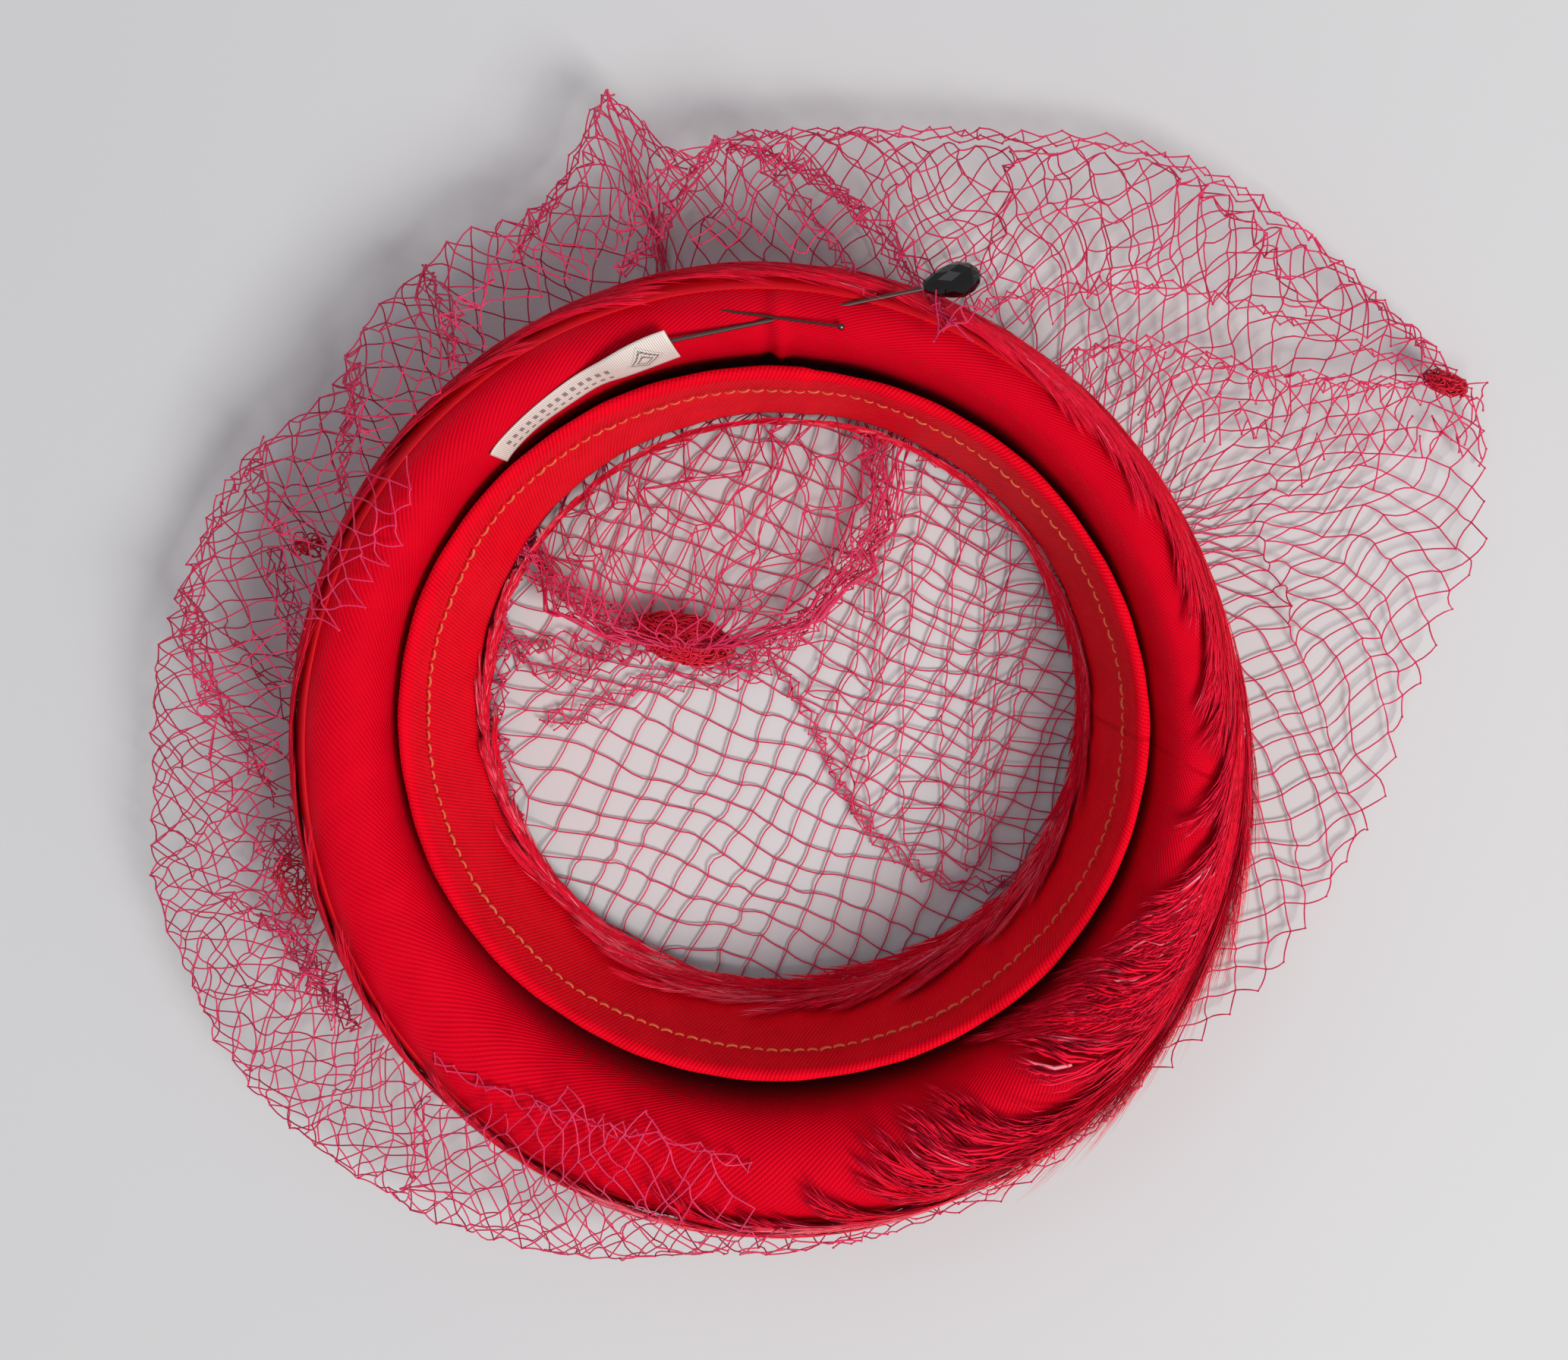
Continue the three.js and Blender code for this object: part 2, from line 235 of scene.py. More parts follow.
def turned_cloth(name, section, material, steps=360, across=36, thickness=0.6, oval=(1, 1),
                 shift=(0, 0), swell=None):
    """A closed layer of cloth turned round the ring, swollen outwards by swell(degrees, share)."""
    line, length = smooth_line(section, across)
    normal = section_normals(line)
    degrees = np.arange(steps) * 360 / steps
    turn = np.radians(degrees)[:, None]
    rise = np.zeros((steps, across)) if swell is None else swell(
        degrees[:, None], np.linspace(0, 1, across)[None, :])
    layers = []
    for depth in (0, thickness):
        radius = line[:, 0] + normal[:, 0] * (rise - depth)
        height = line[:, 1] + normal[:, 1] * (rise - depth)
        x, y = drawn(radius * oval[0] * np.cos(turn) + shift[0],
                     radius * oval[1] * np.sin(turn) + shift[1])
        layers.append(np.stack([RING[0] + x, RING[1] + y, height], axis=2))
    points = np.concatenate([layer.reshape(-1, 3) for layer in layers])
    i, j = np.meshgrid(np.arange(steps), np.arange(across - 1), indexing="ij")
    here, ahead = (i * across + j).ravel(), ((i + 1) % steps * across + j).ravel()
    outer = np.stack([here, ahead, ahead + 1, here + 1], axis=1)
    drop = steps * across
    under = outer[:, ::-1] + drop
    ring_step = np.arange(steps)
    first, second = ring_step * across, (ring_step + 1) % steps * across
    start_rim = np.stack([second, first, first + drop, second + drop], axis=1)
    last = across - 1
    end_rim = np.stack([first + last, second + last, second + last + drop, first + last + drop], axis=1)
    faces = np.concatenate([outer, under, start_rim, end_rim]).tolist()
    piece = mesh_object(name, points, faces, material)
    u = np.radians(degrees)[:, None] * line[:, 0].mean() * np.ones((1, across))
    v = np.linspace(0, length, across)[None, :] * np.ones((steps, 1))
    set_uv(piece, np.tile(np.stack([u, v], axis=2).reshape(-1, 2), (2, 1)))
    return piece


def wave_scale(pitch):
    """The scale for a Wave Texture to repeat at a pitch: at 1 its wave is 2 pi / 20 units long."""
    return math.pi / 10 / pitch


def red_twill(name, rib_mm, slant_degrees, lit, deep, shine=0.25, painted_shade_span=None):
    """Rayon twill: a soft diagonal rib with a slight sheen, with painted highlight on its raised ribs and
    painted shade in the grooves.

    A real rib is about 0.5 mm wide, too fine to show, so it is drawn at rib_mm. Between the two distances
    of the last argument, where the cloth turns down into the gap beside the band, it is darkened towards
    deep maroon as painted shade.
    """
    material, tree, out = new_material(name)
    cloth = add_node(tree, "ShaderNodeUVMap", uv_map="cloth_mm")
    turned = add_node(tree, "ShaderNodeMapping", {
        "Vector": cloth.outputs["UV"], "Rotation": (0, 0, math.radians(slant_degrees))})
    uneven = add_node(tree, "ShaderNodeTexNoise", {
        "Vector": cloth.outputs["UV"], "Scale": 0.12, "Detail": 3.0})
    ribs = add_node(tree, "ShaderNodeTexWave", {
        "Vector": turned.outputs["Vector"], "Scale": wave_scale(rib_mm), "Distortion": 0.6,
        "Detail": 2.0, "Detail Scale": 0.4})
    yarns = add_node(tree, "ShaderNodeTexWave", {
        "Vector": turned.outputs["Vector"], "Scale": wave_scale(rib_mm * 0.8)}, bands_direction="Y")
    weave = add_node(tree, "ShaderNodeMath", {
        0: ribs.outputs["Fac"], 1: yarns.outputs["Fac"], 2: ribs.outputs["Fac"]},
        operation="MULTIPLY_ADD")
    # Painted highlight and shade: the raised ribs take the lit red, the grooves the deep red.
    colour = add_node(tree, "ShaderNodeMix", {
        "Factor": ribs.outputs["Fac"], "A": linear(deep), "B": linear(lit)}, data_type="RGBA")
    worn = add_node(tree, "ShaderNodeMix", {
        "Factor": uneven.outputs["Fac"], "A": colour.outputs["Result"],
        "B": linear(lit)}, data_type="RGBA")
    final = worn.outputs["Result"]
    # Painted shade: the cloth is darkened towards deep maroon down in the gap beside the band.
    if painted_shade_span:
        along = add_node(tree, "ShaderNodeSeparateXYZ", {"Vector": cloth.outputs["UV"]})
        depth = add_node(tree, "ShaderNodeMapRange", {
            "Value": along.outputs["Y"], "From Min": painted_shade_span[0],
            "From Max": painted_shade_span[1]}, interpolation_type="SMOOTHSTEP")
        final = add_node(tree, "ShaderNodeMix", {
            "Factor": depth.outputs["Result"], "A": final,
            "B": linear("#3c0008")}, data_type="RGBA").outputs["Result"]
    raised = add_node(tree, "ShaderNodeBump", {
        "Height": weave.outputs["Value"], "Strength": 0.5, "Distance": 0.16 * MM})
    shader = add_node(tree, "ShaderNodeBsdfPrincipled", {
        "Base Color": final, "Roughness": 0.5, "Normal": raised.outputs["Normal"],
        "Specular IOR Level": shine, "Specular Tint": linear("#ff3a4e"), "Sheen Weight": 0.05,
        "Sheen Roughness": 0.4, "Sheen Tint": linear("#ff2040")})
    tree.links.new(shader.outputs["BSDF"], out.inputs["Surface"])
    return material


# The way it covers as [radius, height], from outside the rim over it and down the inner wall
LINING_SECTION = [(105.6, 41.5), (105.2, 45.5), (102.8, 49.2), (99.0, 51.1), (94.0, 50.2), (89.6, 43.5),
                  (86.9, 31), (85.2, 18), (83.9, 9.6)]
LINING_SEAM = 88.5
PULLS_ROUND = (3, 5, 8, 13, 19, 27)
pull_phases = np.random.default_rng(11).uniform(0, 2 * np.pi, len(PULLS_ROUND))


def lining_swell(degrees, share):
    """Shallow slanting pulls, and the seam: a ridge beside a groove, crimped along its length."""
    turn = np.radians(degrees)
    soft = sum(np.sin(k * turn + pull_phases[n] + 5 * share * np.sin(turn + n)) / (1 + 0.35 * n)
               for n, k in enumerate(PULLS_ROUND))
    off = degrees - LINING_SEAM - 3 * (share - 0.5)
    seam = 0.9 * np.exp(-(off / 0.9) ** 2) - 0.9 * np.exp(-((off - 1.6) / 1.1) ** 2)
    crimps = 0.35 * np.sin(share * 40) * np.exp(-(off / 2.5) ** 2)
    return 0.3 + (0.15 * soft + seam + crimps) * np.sin(np.pi * share)


# The lining's lit and shaded reds, and painted shade from 23 to 42 mm along it, down its inner wall.
lining_cloth = red_twill("lining_twill", 0.7, 62, "#d80420", "#9c0112", painted_shade_span=(23, 42))
lining = turned_cloth("brim_lining_twill", LINING_SECTION, lining_cloth, steps=540,
                      swell=lining_swell)
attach(lining, "hat")
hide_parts("brim_lining")

# ---- Bandeau ----
# The head-size band: twill folded over a buckram core, standing steeply inside the brim. Its rib runs
# across the band, and its one join is a plain lapped seam.

BANDEAU_OVAL = (1, 0.96)
BANDEAU_SECTION = [(77.3, 9), (82.4, 27), (86.8, 42.2), (86.3, 43.7), (85.0, 43.9), (84.2, 42.3),
                   (82.0, 34), (79.7, 26), (75.1, 9)]
BANDEAU_SEAM = 84


def bandeau_swell(degrees, share):
    """Slight unevenness round the band, and the lap of its join, which dies away over a few degrees."""
    turn = np.radians(degrees)
    off = degrees - BANDEAU_SEAM
    lap = 0.5 / (1 + np.exp(-off / 0.25)) * (np.abs(off) < 30) * np.exp(-np.clip(off, 0, None) / 6)
    waves = 0.14 * np.sin(7 * turn + 1) + 0.1 * np.sin(16 * turn + 3 * share) + 0.05 * np.sin(41 * turn)
    return waves + lap + 0.15


bandeau_cloth = red_twill("bandeau_twill", 0.9, 20, "#ec0a22", "#a00212", shine=0.04)
bandeau = turned_cloth("bandeau_folded_twill", BANDEAU_SECTION, bandeau_cloth, steps=420, across=44,
                       thickness=0.5, oval=BANDEAU_OVAL, shift=BANDEAU_SHIFT, swell=bandeau_swell)
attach(bandeau, "hat")
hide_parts("bandeau_cover")

# ---- Topstitching ----
# A doubled strand of orange-yellow cotton, sewn by hand in short running stitches a finger's width
# below the fold. Each stitch is two strands that dive into the cloth at both ends.

STITCH_PITCH = 3.3
STITCH_LENGTH = 2.4
STRAND_RADIUS = 0.18
ROW = {"radius": 81.75, "height": 36.0}
WALL_LEAN = 0.28                # how far the band's wall leans out for each millimetre that it rises


def named_tree(name, sockets):
    """An empty geometry tree with the given inputs, and its input and output nodes."""
    tree = bpy.data.node_groups.new(name, "GeometryNodeTree")
    tree.interface.new_socket("Geometry", in_out="INPUT", socket_type="NodeSocketGeometry")
    for label, kind in sockets:
        tree.interface.new_socket(label, in_out="INPUT", socket_type=kind)
    tree.interface.new_socket("Geometry", in_out="OUTPUT", socket_type="NodeSocketGeometry")
    return tree, add_node(tree, "NodeGroupInput"), add_node(tree, "NodeGroupOutput")


def grown(name, seed, tree, inputs):
    """Runs a tree on an object, keeps the result as a plain mesh and takes the object away."""
    modifier = seed.modifiers.new(tree.name, "NODES")
    modifier.node_group = tree
    for item in tree.interface.items_tree:
        if item.in_out == "INPUT" and item.name in inputs:
            modifier[item.identifier] = inputs[item.name]
    evaluated = seed.evaluated_get(bpy.context.evaluated_depsgraph_get())
    mesh = bpy.data.meshes.new_from_object(evaluated)
    mesh.name = name
    bpy.data.objects.remove(seed)
    piece = bpy.data.objects.new(name, mesh)
    bpy.context.scene.collection.objects.link(piece)
    return piece


def stitch_tree():
    """Pairs of short bowed strands, set at even steps along a line and laid on the cloth."""
    tree, given, out = named_tree("running_stitches", [
        ("Count", "NodeSocketInt"), ("Length", "NodeSocketFloat"), ("Thread", "NodeSocketFloat"),
        ("Material", "NodeSocketMaterial")])
    line = add_node(tree, "GeometryNodeMeshToCurve", {"Mesh": given.outputs["Geometry"]})
    places = add_node(tree, "GeometryNodeCurveToPoints", {
        "Curve": line.outputs["Curve"], "Count": given.outputs["Count"]}, mode="COUNT")
    strand = add_node(tree, "GeometryNodeCurveArc", {
        "Resolution": 7, "Start": Vector((-0.5, 0, 0)), "Middle": Vector((0, 0, 0.16)),
        "End": Vector((0.5, 0, 0))}, mode="POINTS")
    sized = add_node(tree, "GeometryNodeTransform", {"Geometry": strand.outputs["Curve"]})
    scale = add_node(tree, "ShaderNodeCombineXYZ", {
        "X": given.outputs["Length"], "Y": given.outputs["Length"], "Z": given.outputs["Length"]})
    tree.links.new(scale.outputs["Vector"], sized.inputs["Scale"])
    profile = add_node(tree, "GeometryNodeCurvePrimitiveCircle", {
        "Resolution": 6, "Radius": given.outputs["Thread"]})
    tube = add_node(tree, "GeometryNodeCurveToMesh", {
        "Curve": sized.outputs["Geometry"], "Profile Curve": profile.outputs["Curve"],
        "Fill Caps": True})
    apart = add_node(tree, "ShaderNodeCombineXYZ", {"Y": given.outputs["Thread"]})
    wide = add_node(tree, "ShaderNodeVectorMath", {
        0: apart.outputs["Vector"], "Scale": 1.0}, operation="SCALE")
    narrow = add_node(tree, "ShaderNodeVectorMath", {
        0: apart.outputs["Vector"], "Scale": -1.0}, operation="SCALE")
    left_strand = add_node(tree, "GeometryNodeTransform", {
        "Geometry": tube.outputs["Mesh"], "Translation": wide.outputs["Vector"]})
    right_strand = add_node(tree, "GeometryNodeTransform", {
        "Geometry": tube.outputs["Mesh"], "Translation": narrow.outputs["Vector"],
        "Rotation": (0, 0, 0.1)})
    pair = add_node(tree, "GeometryNodeJoinGeometry")
    tree.links.new(left_strand.outputs["Geometry"], pair.inputs["Geometry"])
    tree.links.new(right_strand.outputs["Geometry"], pair.inputs["Geometry"])
    along = add_node(tree, "FunctionNodeAlignRotationToVector", {
        "Vector": places.outputs["Tangent"]}, axis="X")
    facing = add_node(tree, "GeometryNodeInputNamedAttribute", {
        "Name": "facing"}, data_type="FLOAT_VECTOR")
    turned = add_node(tree, "FunctionNodeAlignRotationToVector", {
        "Rotation": along.outputs["Rotation"],
        "Vector": facing.outputs["Attribute"]}, axis="Z", pivot_axis="X")
    skewed = add_node(tree, "FunctionNodeRandomValue", {
        0: (-0.05, -0.05, -0.16), 1: (0.05, 0.05, 0.16), "Seed": 4}, data_type="FLOAT_VECTOR")
    laid = add_node(tree, "FunctionNodeRotateRotation", {
        "Rotation": turned.outputs["Rotation"],
        "Rotate By": skewed.outputs["Value"]}, rotation_space="LOCAL")
    size = add_node(tree, "FunctionNodeRandomValue", {2: 0.82, 3: 1.12, "Seed": 9}, data_type="FLOAT")
    sewn = add_node(tree, "GeometryNodeInstanceOnPoints", {
        "Points": places.outputs["Points"], "Instance": pair.outputs["Geometry"],
        "Rotation": laid.outputs["Rotation"], "Scale": size.outputs["Value"]})
    real = add_node(tree, "GeometryNodeRealizeInstances", {"Geometry": sewn.outputs["Instances"]})
    done = add_node(tree, "GeometryNodeSetMaterial", {
        "Geometry": real.outputs["Geometry"], "Material": given.outputs["Material"]})
    tree.links.new(done.outputs["Geometry"], out.inputs["Geometry"])
    return tree


def cotton_thread(name, hex_colour, dark_hex):
    """Plied cotton: matt, with a faint spiral that reads as fine flecks."""
    material, tree, out = new_material(name)
    place = add_node(tree, "ShaderNodeTexCoord")
    ply = add_node(tree, "ShaderNodeTexNoise", {"Vector": place.outputs["Object"], "Scale": 2600.0})
    tint = add_node(tree, "ShaderNodeMix", {
        "Factor": ply.outputs["Fac"], "A": linear(dark_hex),
        "B": linear(hex_colour)}, data_type="RGBA")
    raised = add_node(tree, "ShaderNodeBump", {
        "Height": ply.outputs["Fac"], "Strength": 0.4, "Distance": 0.05 * MM})
    shader = add_node(tree, "ShaderNodeBsdfPrincipled", {
        "Base Color": tint.outputs["Result"], "Roughness": 0.6, "Normal": raised.outputs["Normal"]})
    tree.links.new(shader.outputs["BSDF"], out.inputs["Surface"])
    return material


def sewing_line():
    """The line that the needle followed, with the way that the cloth faces at each point."""
    count = 720
    turn = np.linspace(0, 2 * np.pi, count, endpoint=False)
    degrees = np.degrees(turn)
    waver = 0.35 * np.sin(5 * turn + 2) + 0.25 * np.sin(11 * turn)
    height = ROW["height"] + waver
    radius = ROW["radius"] + waver * WALL_LEAN - bandeau_swell(degrees, 0.75)
    points = np.stack([RING[0] + radius * BANDEAU_OVAL[0] * np.cos(turn),
                       RING[1] + BANDEAU_SHIFT[1] + radius * BANDEAU_OVAL[1] * np.sin(turn),
                       height], axis=1)
    edges = [(i, (i + 1) % count) for i in range(count)]
    line = mesh_object("sewing_line", points, [], edges=edges)
    inward = np.stack([-np.cos(turn), -np.sin(turn), np.full(count, WALL_LEAN)], axis=1)
    line.data.attributes.new("facing", "FLOAT_VECTOR", "POINT").data.foreach_set(
        "vector", inward.astype(np.float32).ravel())
    return line


row_length = 2 * math.pi * ROW["radius"]
topstitch = grown("bandeau_running_stitches", sewing_line(), stitch_tree(), {
    "Count": round(row_length / STITCH_PITCH), "Length": STITCH_LENGTH * MM,
    "Thread": STRAND_RADIUS * MM, "Material": cotton_thread("orange_cotton", "#ea7a44", "#b04a22")})
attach(topstitch, "hat")
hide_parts("bandeau_topstitch")

# ---- Label ----
# A woven acetate ribbon label, sewn over the lining near the back. Its print is replaced by a woven
# lozenge and plain bars, which say nothing.

LABEL_SPAN = (102.3, 133.5)
LABEL_WIDTH = 7.2
# The way down the lining that it lies on, and how far down its two ends start: it is sewn on a slant
LABEL_SECTION = [(97.6, 52.0), (94.5, 51.2), (92.4, 49.0), (90.9, 46.6), (89.6, 43.6), (88.4, 39.8),
                 (87.6, 36.0)]
LABEL_START = (0.3, 7.4)
PIN_POINT_SHARE = 0.34          # how far along the label the hat pin's point reaches


def woven_label():
    """Fine ribbed acetate, slightly shiny, with a charcoal weft brought up for the pattern."""
    material, tree, out = new_material("woven_acetate_ribbon")
    cloth = add_node(tree, "ShaderNodeUVMap", uv_map="cloth_mm")
    place = add_node(tree, "ShaderNodeSeparateXYZ", {"Vector": cloth.outputs["UV"]})
    ribs = add_node(tree, "ShaderNodeTexWave", {
        "Vector": cloth.outputs["UV"], "Scale": wave_scale(0.5), "Distortion": 0.5})
    weft = add_node(tree, "ShaderNodeTexWave", {
        "Vector": cloth.outputs["UV"], "Scale": wave_scale(0.42)}, bands_direction="Y")
    white = add_node(tree, "ShaderNodeMix", {
        "Factor": ribs.outputs["Fac"], "A": linear("#b7a9a3"),
        "B": linear("#e4d8d2")}, data_type="RGBA")

    def distance(socket, centre, stretch):
        """How far a socket's value is from a centre, times stretch."""
        off = add_node(tree, "ShaderNodeMath", {0: socket, 1: centre}, operation="SUBTRACT")
        size = add_node(tree, "ShaderNodeMath", {0: off.outputs["Value"]}, operation="ABSOLUTE")
        return add_node(tree, "ShaderNodeMath", {
            0: size.outputs["Value"], 1: stretch}, operation="MULTIPLY").outputs["Value"]

    def inside(socket, low, high):
        """1 where a socket's value lies between two limits, and 0 elsewhere."""
        above = add_node(tree, "ShaderNodeMath", {0: socket, 1: low}, operation="GREATER_THAN")
        below = add_node(tree, "ShaderNodeMath", {0: socket, 1: high}, operation="LESS_THAN")
        return add_node(tree, "ShaderNodeMath", {0: above.outputs["Value"], 1: below.outputs["Value"]},
                        operation="MULTIPLY").outputs["Value"]

    across, down = place.outputs["X"], place.outputs["Y"]
    # A lozenge of three nested rings near one end, then two rows of short bars, all in millimetres
    lozenge = add_node(tree, "ShaderNodeMath", {
        0: distance(across, 7.5, 1 / 4.4), 1: distance(down, 3.6, 1 / 2.6)}, operation="ADD")
    rings = add_node(tree, "ShaderNodeMath", {0: lozenge.outputs["Value"], 1: 0.34}, operation="MODULO")
    motif = add_node(tree, "ShaderNodeMath", {
        0: inside(lozenge.outputs["Value"], 0.25, 1.05),
        1: inside(rings.outputs["Value"], 0.0, 0.17)}, operation="MULTIPLY")
    dashes = add_node(tree, "ShaderNodeMath", {0: across, 1: 2.2}, operation="MODULO")
    bars = add_node(tree, "ShaderNodeMath", {
        0: inside(dashes.outputs["Value"], 0.5, 1.6),
        1: inside(across, 16.0, 46.0)}, operation="MULTIPLY")
    rows = add_node(tree, "ShaderNodeMath", {
        0: inside(down, 2.0, 3.4), 1: inside(down, 4.8, 5.6)}, operation="ADD")
    lines = add_node(tree, "ShaderNodeMath", {
        0: bars.outputs["Value"], 1: rows.outputs["Value"]}, operation="MULTIPLY")
    woven_in = add_node(tree, "ShaderNodeMath", {
        0: motif.outputs["Value"], 1: lines.outputs["Value"]}, operation="MAXIMUM")
    broken = add_node(tree, "ShaderNodeMapRange", {
        "Value": weft.outputs["Fac"], "To Min": 0.45, "To Max": 0.95})
    strength = add_node(tree, "ShaderNodeMath", {
        0: woven_in.outputs["Value"], 1: broken.outputs["Result"]}, operation="MULTIPLY")
    colour = add_node(tree, "ShaderNodeMix", {
        "Factor": strength.outputs["Value"], "A": white.outputs["Result"],
        "B": linear("#4a3d40")}, data_type="RGBA")
    raised = add_node(tree, "ShaderNodeBump", {
        "Height": ribs.outputs["Fac"], "Strength": 0.4, "Distance": 0.1 * MM})
    shader = add_node(tree, "ShaderNodeBsdfPrincipled", {
        "Base Color": colour.outputs["Result"], "Roughness": 0.42, "Normal": raised.outputs["Normal"]})
    tree.links.new(shader.outputs["BSDF"], out.inputs["Surface"])
    return material


def ribbon_on_ring(name, section, span, start, width, material, lift, steps=60, across=14,
                   thickness=0.35):
    """A closed strip of ribbon lying aslant along the ring's inner wall."""
    line, length = smooth_line(section, 80)
    normal = section_normals(line)
    degrees = np.linspace(*span, steps)
    share = np.linspace(0, 1, steps)[:, None]
    wide = np.linspace(0, 1, across)[None, :]
    place = (start[0] + (start[1] - start[0]) * share + width * wide) / length * (len(line) - 1)
    at = np.arange(len(line))
    radius_on, height_on, normal_r, normal_z = (
        np.interp(place, at, values) for values in (*line.T, *normal.T))
    rise = lift(share, wide)
    turn = np.radians(degrees)[:, None]
    sides = []
    for depth in (0, thickness):
        radius = radius_on + normal_r * (rise - depth)
        x, y = drawn(radius * np.cos(turn), radius * np.sin(turn))
        sides.append(np.stack([RING[0] + x, RING[1] + y, height_on + normal_z * (rise - depth)],
                              axis=2).reshape(-1, 3))
    drop = steps * across
    i, j = np.meshgrid(np.arange(steps - 1), np.arange(across - 1), indexing="ij")
    here = (i * across + j).ravel()
    top = np.stack([here, here + across, here + across + 1, here + 1], axis=1)
    round_edge = (list(range(across)) + [k * across + across - 1 for k in range(1, steps)]
                  + [(steps - 1) * across + k for k in range(across - 2, -1, -1)]
                  + [k * across for k in range(steps - 2, 0, -1)])
    walls = [(a, b, b + drop, a + drop) for a, b in zip(round_edge, round_edge[1:] + round_edge[:1])]
    faces = top.tolist() + (top[:, ::-1] + drop).tolist() + walls
    piece = mesh_object(name, np.concatenate(sides), faces, material)
    mean_radius = line[:, 0].mean()
    along = np.radians(np.abs(degrees - span[0]))[:, None] * mean_radius * np.ones((1, across))
    down = width * wide * np.ones((steps, 1))
    set_uv(piece, np.tile(np.stack([along, down], axis=2).reshape(-1, 2), (2, 1)))
    return piece


def label_lift(share, wide):
    """It bulges over the hat pin's point near its right end, and the left end curls off the cloth."""
    over_pin = 2.9 / (1 + np.exp((share - PIN_POINT_SHARE) / 0.04)) * (1 - 0.45 * wide)
    return 0.8 + over_pin + 0.6 * np.exp(-(1 - share) / 0.03) + 0.15 * wide * np.sin(share * 14)


label = ribbon_on_ring("label_ribbon", LABEL_SECTION, LABEL_SPAN, LABEL_START, LABEL_WIDTH,
                       woven_label(), label_lift)
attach(label, "hat")
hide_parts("label")

# ---- Feathers ----
# Dyed hackle feathers, glued in overlapping rows over their own down and all swept one way, clockwise
# as seen from the head opening. Their fine barbs lie together as silky vanes and part at the tips.

# The outside of the brim as [radius, height]: from the crown's edge out, up, over the rim and inside.
# The down lies just under the feathers, and stops short of the rim.
FEATHER_SECTION = [(74, 2.6), (77, 1.6), (84, 1.3), (92, 2.2), (100.5, 6.5), (106.5, 14), (108.4, 24),
                   (108.6, 36), (107.6, 43), (105.2, 48.5), (102.4, 51.6), (98.8, 52.7), (94, 52.0),
                   (90.4, 47.0), (88.5, 40), (87.3, 32)]
DOWN_SECTION = [(75.5, 3.4), (77, 2.4), (84, 2.1), (92, 3.1), (100, 7.4), (105.6, 14.6), (107.4, 24),
                (107.6, 36), (106.7, 42), (105.0, 46.5), (103.4, 48.8)]
feather_line, feather_run = smooth_line(FEATHER_SECTION, 180)
feather_normals = section_normals(feather_line)
FEATHER_RING_RADIUS = 104.0


def off_section(line, normals, run, along_mm, lift_mm):
    """Radius and height at a distance along a section's line, and lifted off it."""
    share = np.clip(along_mm / run, 0, 1) * (len(line) - 1)
    low = np.clip(share.astype(int), 0, len(line) - 2)
    part = (share - low)[..., None]
    point = line[low] * (1 - part) + line[low + 1] * part
    normal = normals[low] * (1 - part) + normals[low + 1] * part
    return point[..., 0] + normal[..., 0] * lift_mm, point[..., 1] + normal[..., 1] * lift_mm


def on_brim(round_mm, up_mm, lift_mm):
    """Places (distance round the ring, distance up the section, height off it) on the brim."""
    turn = round_mm / FEATHER_RING_RADIUS
    radius, height = off_section(feather_line, feather_normals, feather_run, up_mm, lift_mm)
    x, y = drawn(radius * np.cos(turn), radius * np.sin(turn))
    return np.stack([RING[0] + x, RING[1] + y, np.maximum(height, 0.3)], axis=-1)


def dyed_feather():
    """Dyed hackle: fine keratin barbs with a silky shine along them, paler where they thin."""
    material, tree, out = new_material("dyed_hackle")
    tone = add_node(tree, "ShaderNodeAttribute", attribute_name="tone")
    tip = add_node(tree, "ShaderNodeAttribute", attribute_name="tip")
    body = add_node(tree, "ShaderNodeValToRGB", {"Fac": tone.outputs["Fac"]})
    ramp = body.color_ramp
    ramp.elements[0].color, ramp.elements[1].color = linear("#b4000f"), linear("#ff8c9e")
    for place, tint in ((0.4, "#dc041c"), (0.86, "#f41a3c")):
        ramp.elements.new(place).color = linear(tint)
    paled = add_node(tree, "ShaderNodeMix", {
        "Factor": tip.outputs["Fac"], "A": body.outputs["Color"],
        "B": linear("#f82448")}, data_type="RGBA")
    shader = add_node(tree, "ShaderNodeBsdfPrincipled", {
        "Base Color": paled.outputs["Result"], "Roughness": 0.4, "Specular IOR Level": 0.14,
        "Specular Tint": linear("#ff5068"), "Sheen Weight": 0.04, "Sheen Roughness": 0.3,
        "Sheen Tint": linear("#ff3050")})
    tree.links.new(shader.outputs["BSDF"], out.inputs["Surface"])
    return material


def streaky_down():
    """The feathers' matted under-down: dark red, streaked the way that the barbs lie."""
    material, tree, out = new_material("feather_underdown")
    cloth = add_node(tree, "ShaderNodeUVMap", uv_map="cloth_mm")
    drawn_out = add_node(tree, "ShaderNodeMapping", {
        "Vector": cloth.outputs["UV"], "Rotation": (0, 0, 0.3), "Scale": (0.06, 2.2, 1.0)})
    streaks = add_node(tree, "ShaderNodeTexNoise", {
        "Vector": drawn_out.outputs["Vector"], "Scale": 1.0, "Detail": 6.0, "Roughness": 0.65})
    tint = add_node(tree, "ShaderNodeMix", {
        "Factor": streaks.outputs["Fac"], "A": linear("#b00012"),
        "B": linear("#dc061e")}, data_type="RGBA")
    raised = add_node(tree, "ShaderNodeBump", {
        "Height": streaks.outputs["Fac"], "Strength": 0.6, "Distance": 0.4 * MM})
    shader = add_node(tree, "ShaderNodeBsdfPrincipled", {
        "Base Color": tint.outputs["Result"], "Roughness": 0.6, "Specular IOR Level": 0.15,
        "Normal": raised.outputs["Normal"]})
    tree.links.new(shader.outputs["BSDF"], out.inputs["Surface"])
    return material


underdown = turned_cloth("feather_underdown", DOWN_SECTION[::-1], streaky_down(), across=30,
                         thickness=0.5)
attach(underdown, "hat")


RIDGE = 0.07                    # how far a barb's middle ridge stands over its two edges
QUILL_WIDTH = 0.34
QUILL_TONE = 0.8                # the palest that a quill may be


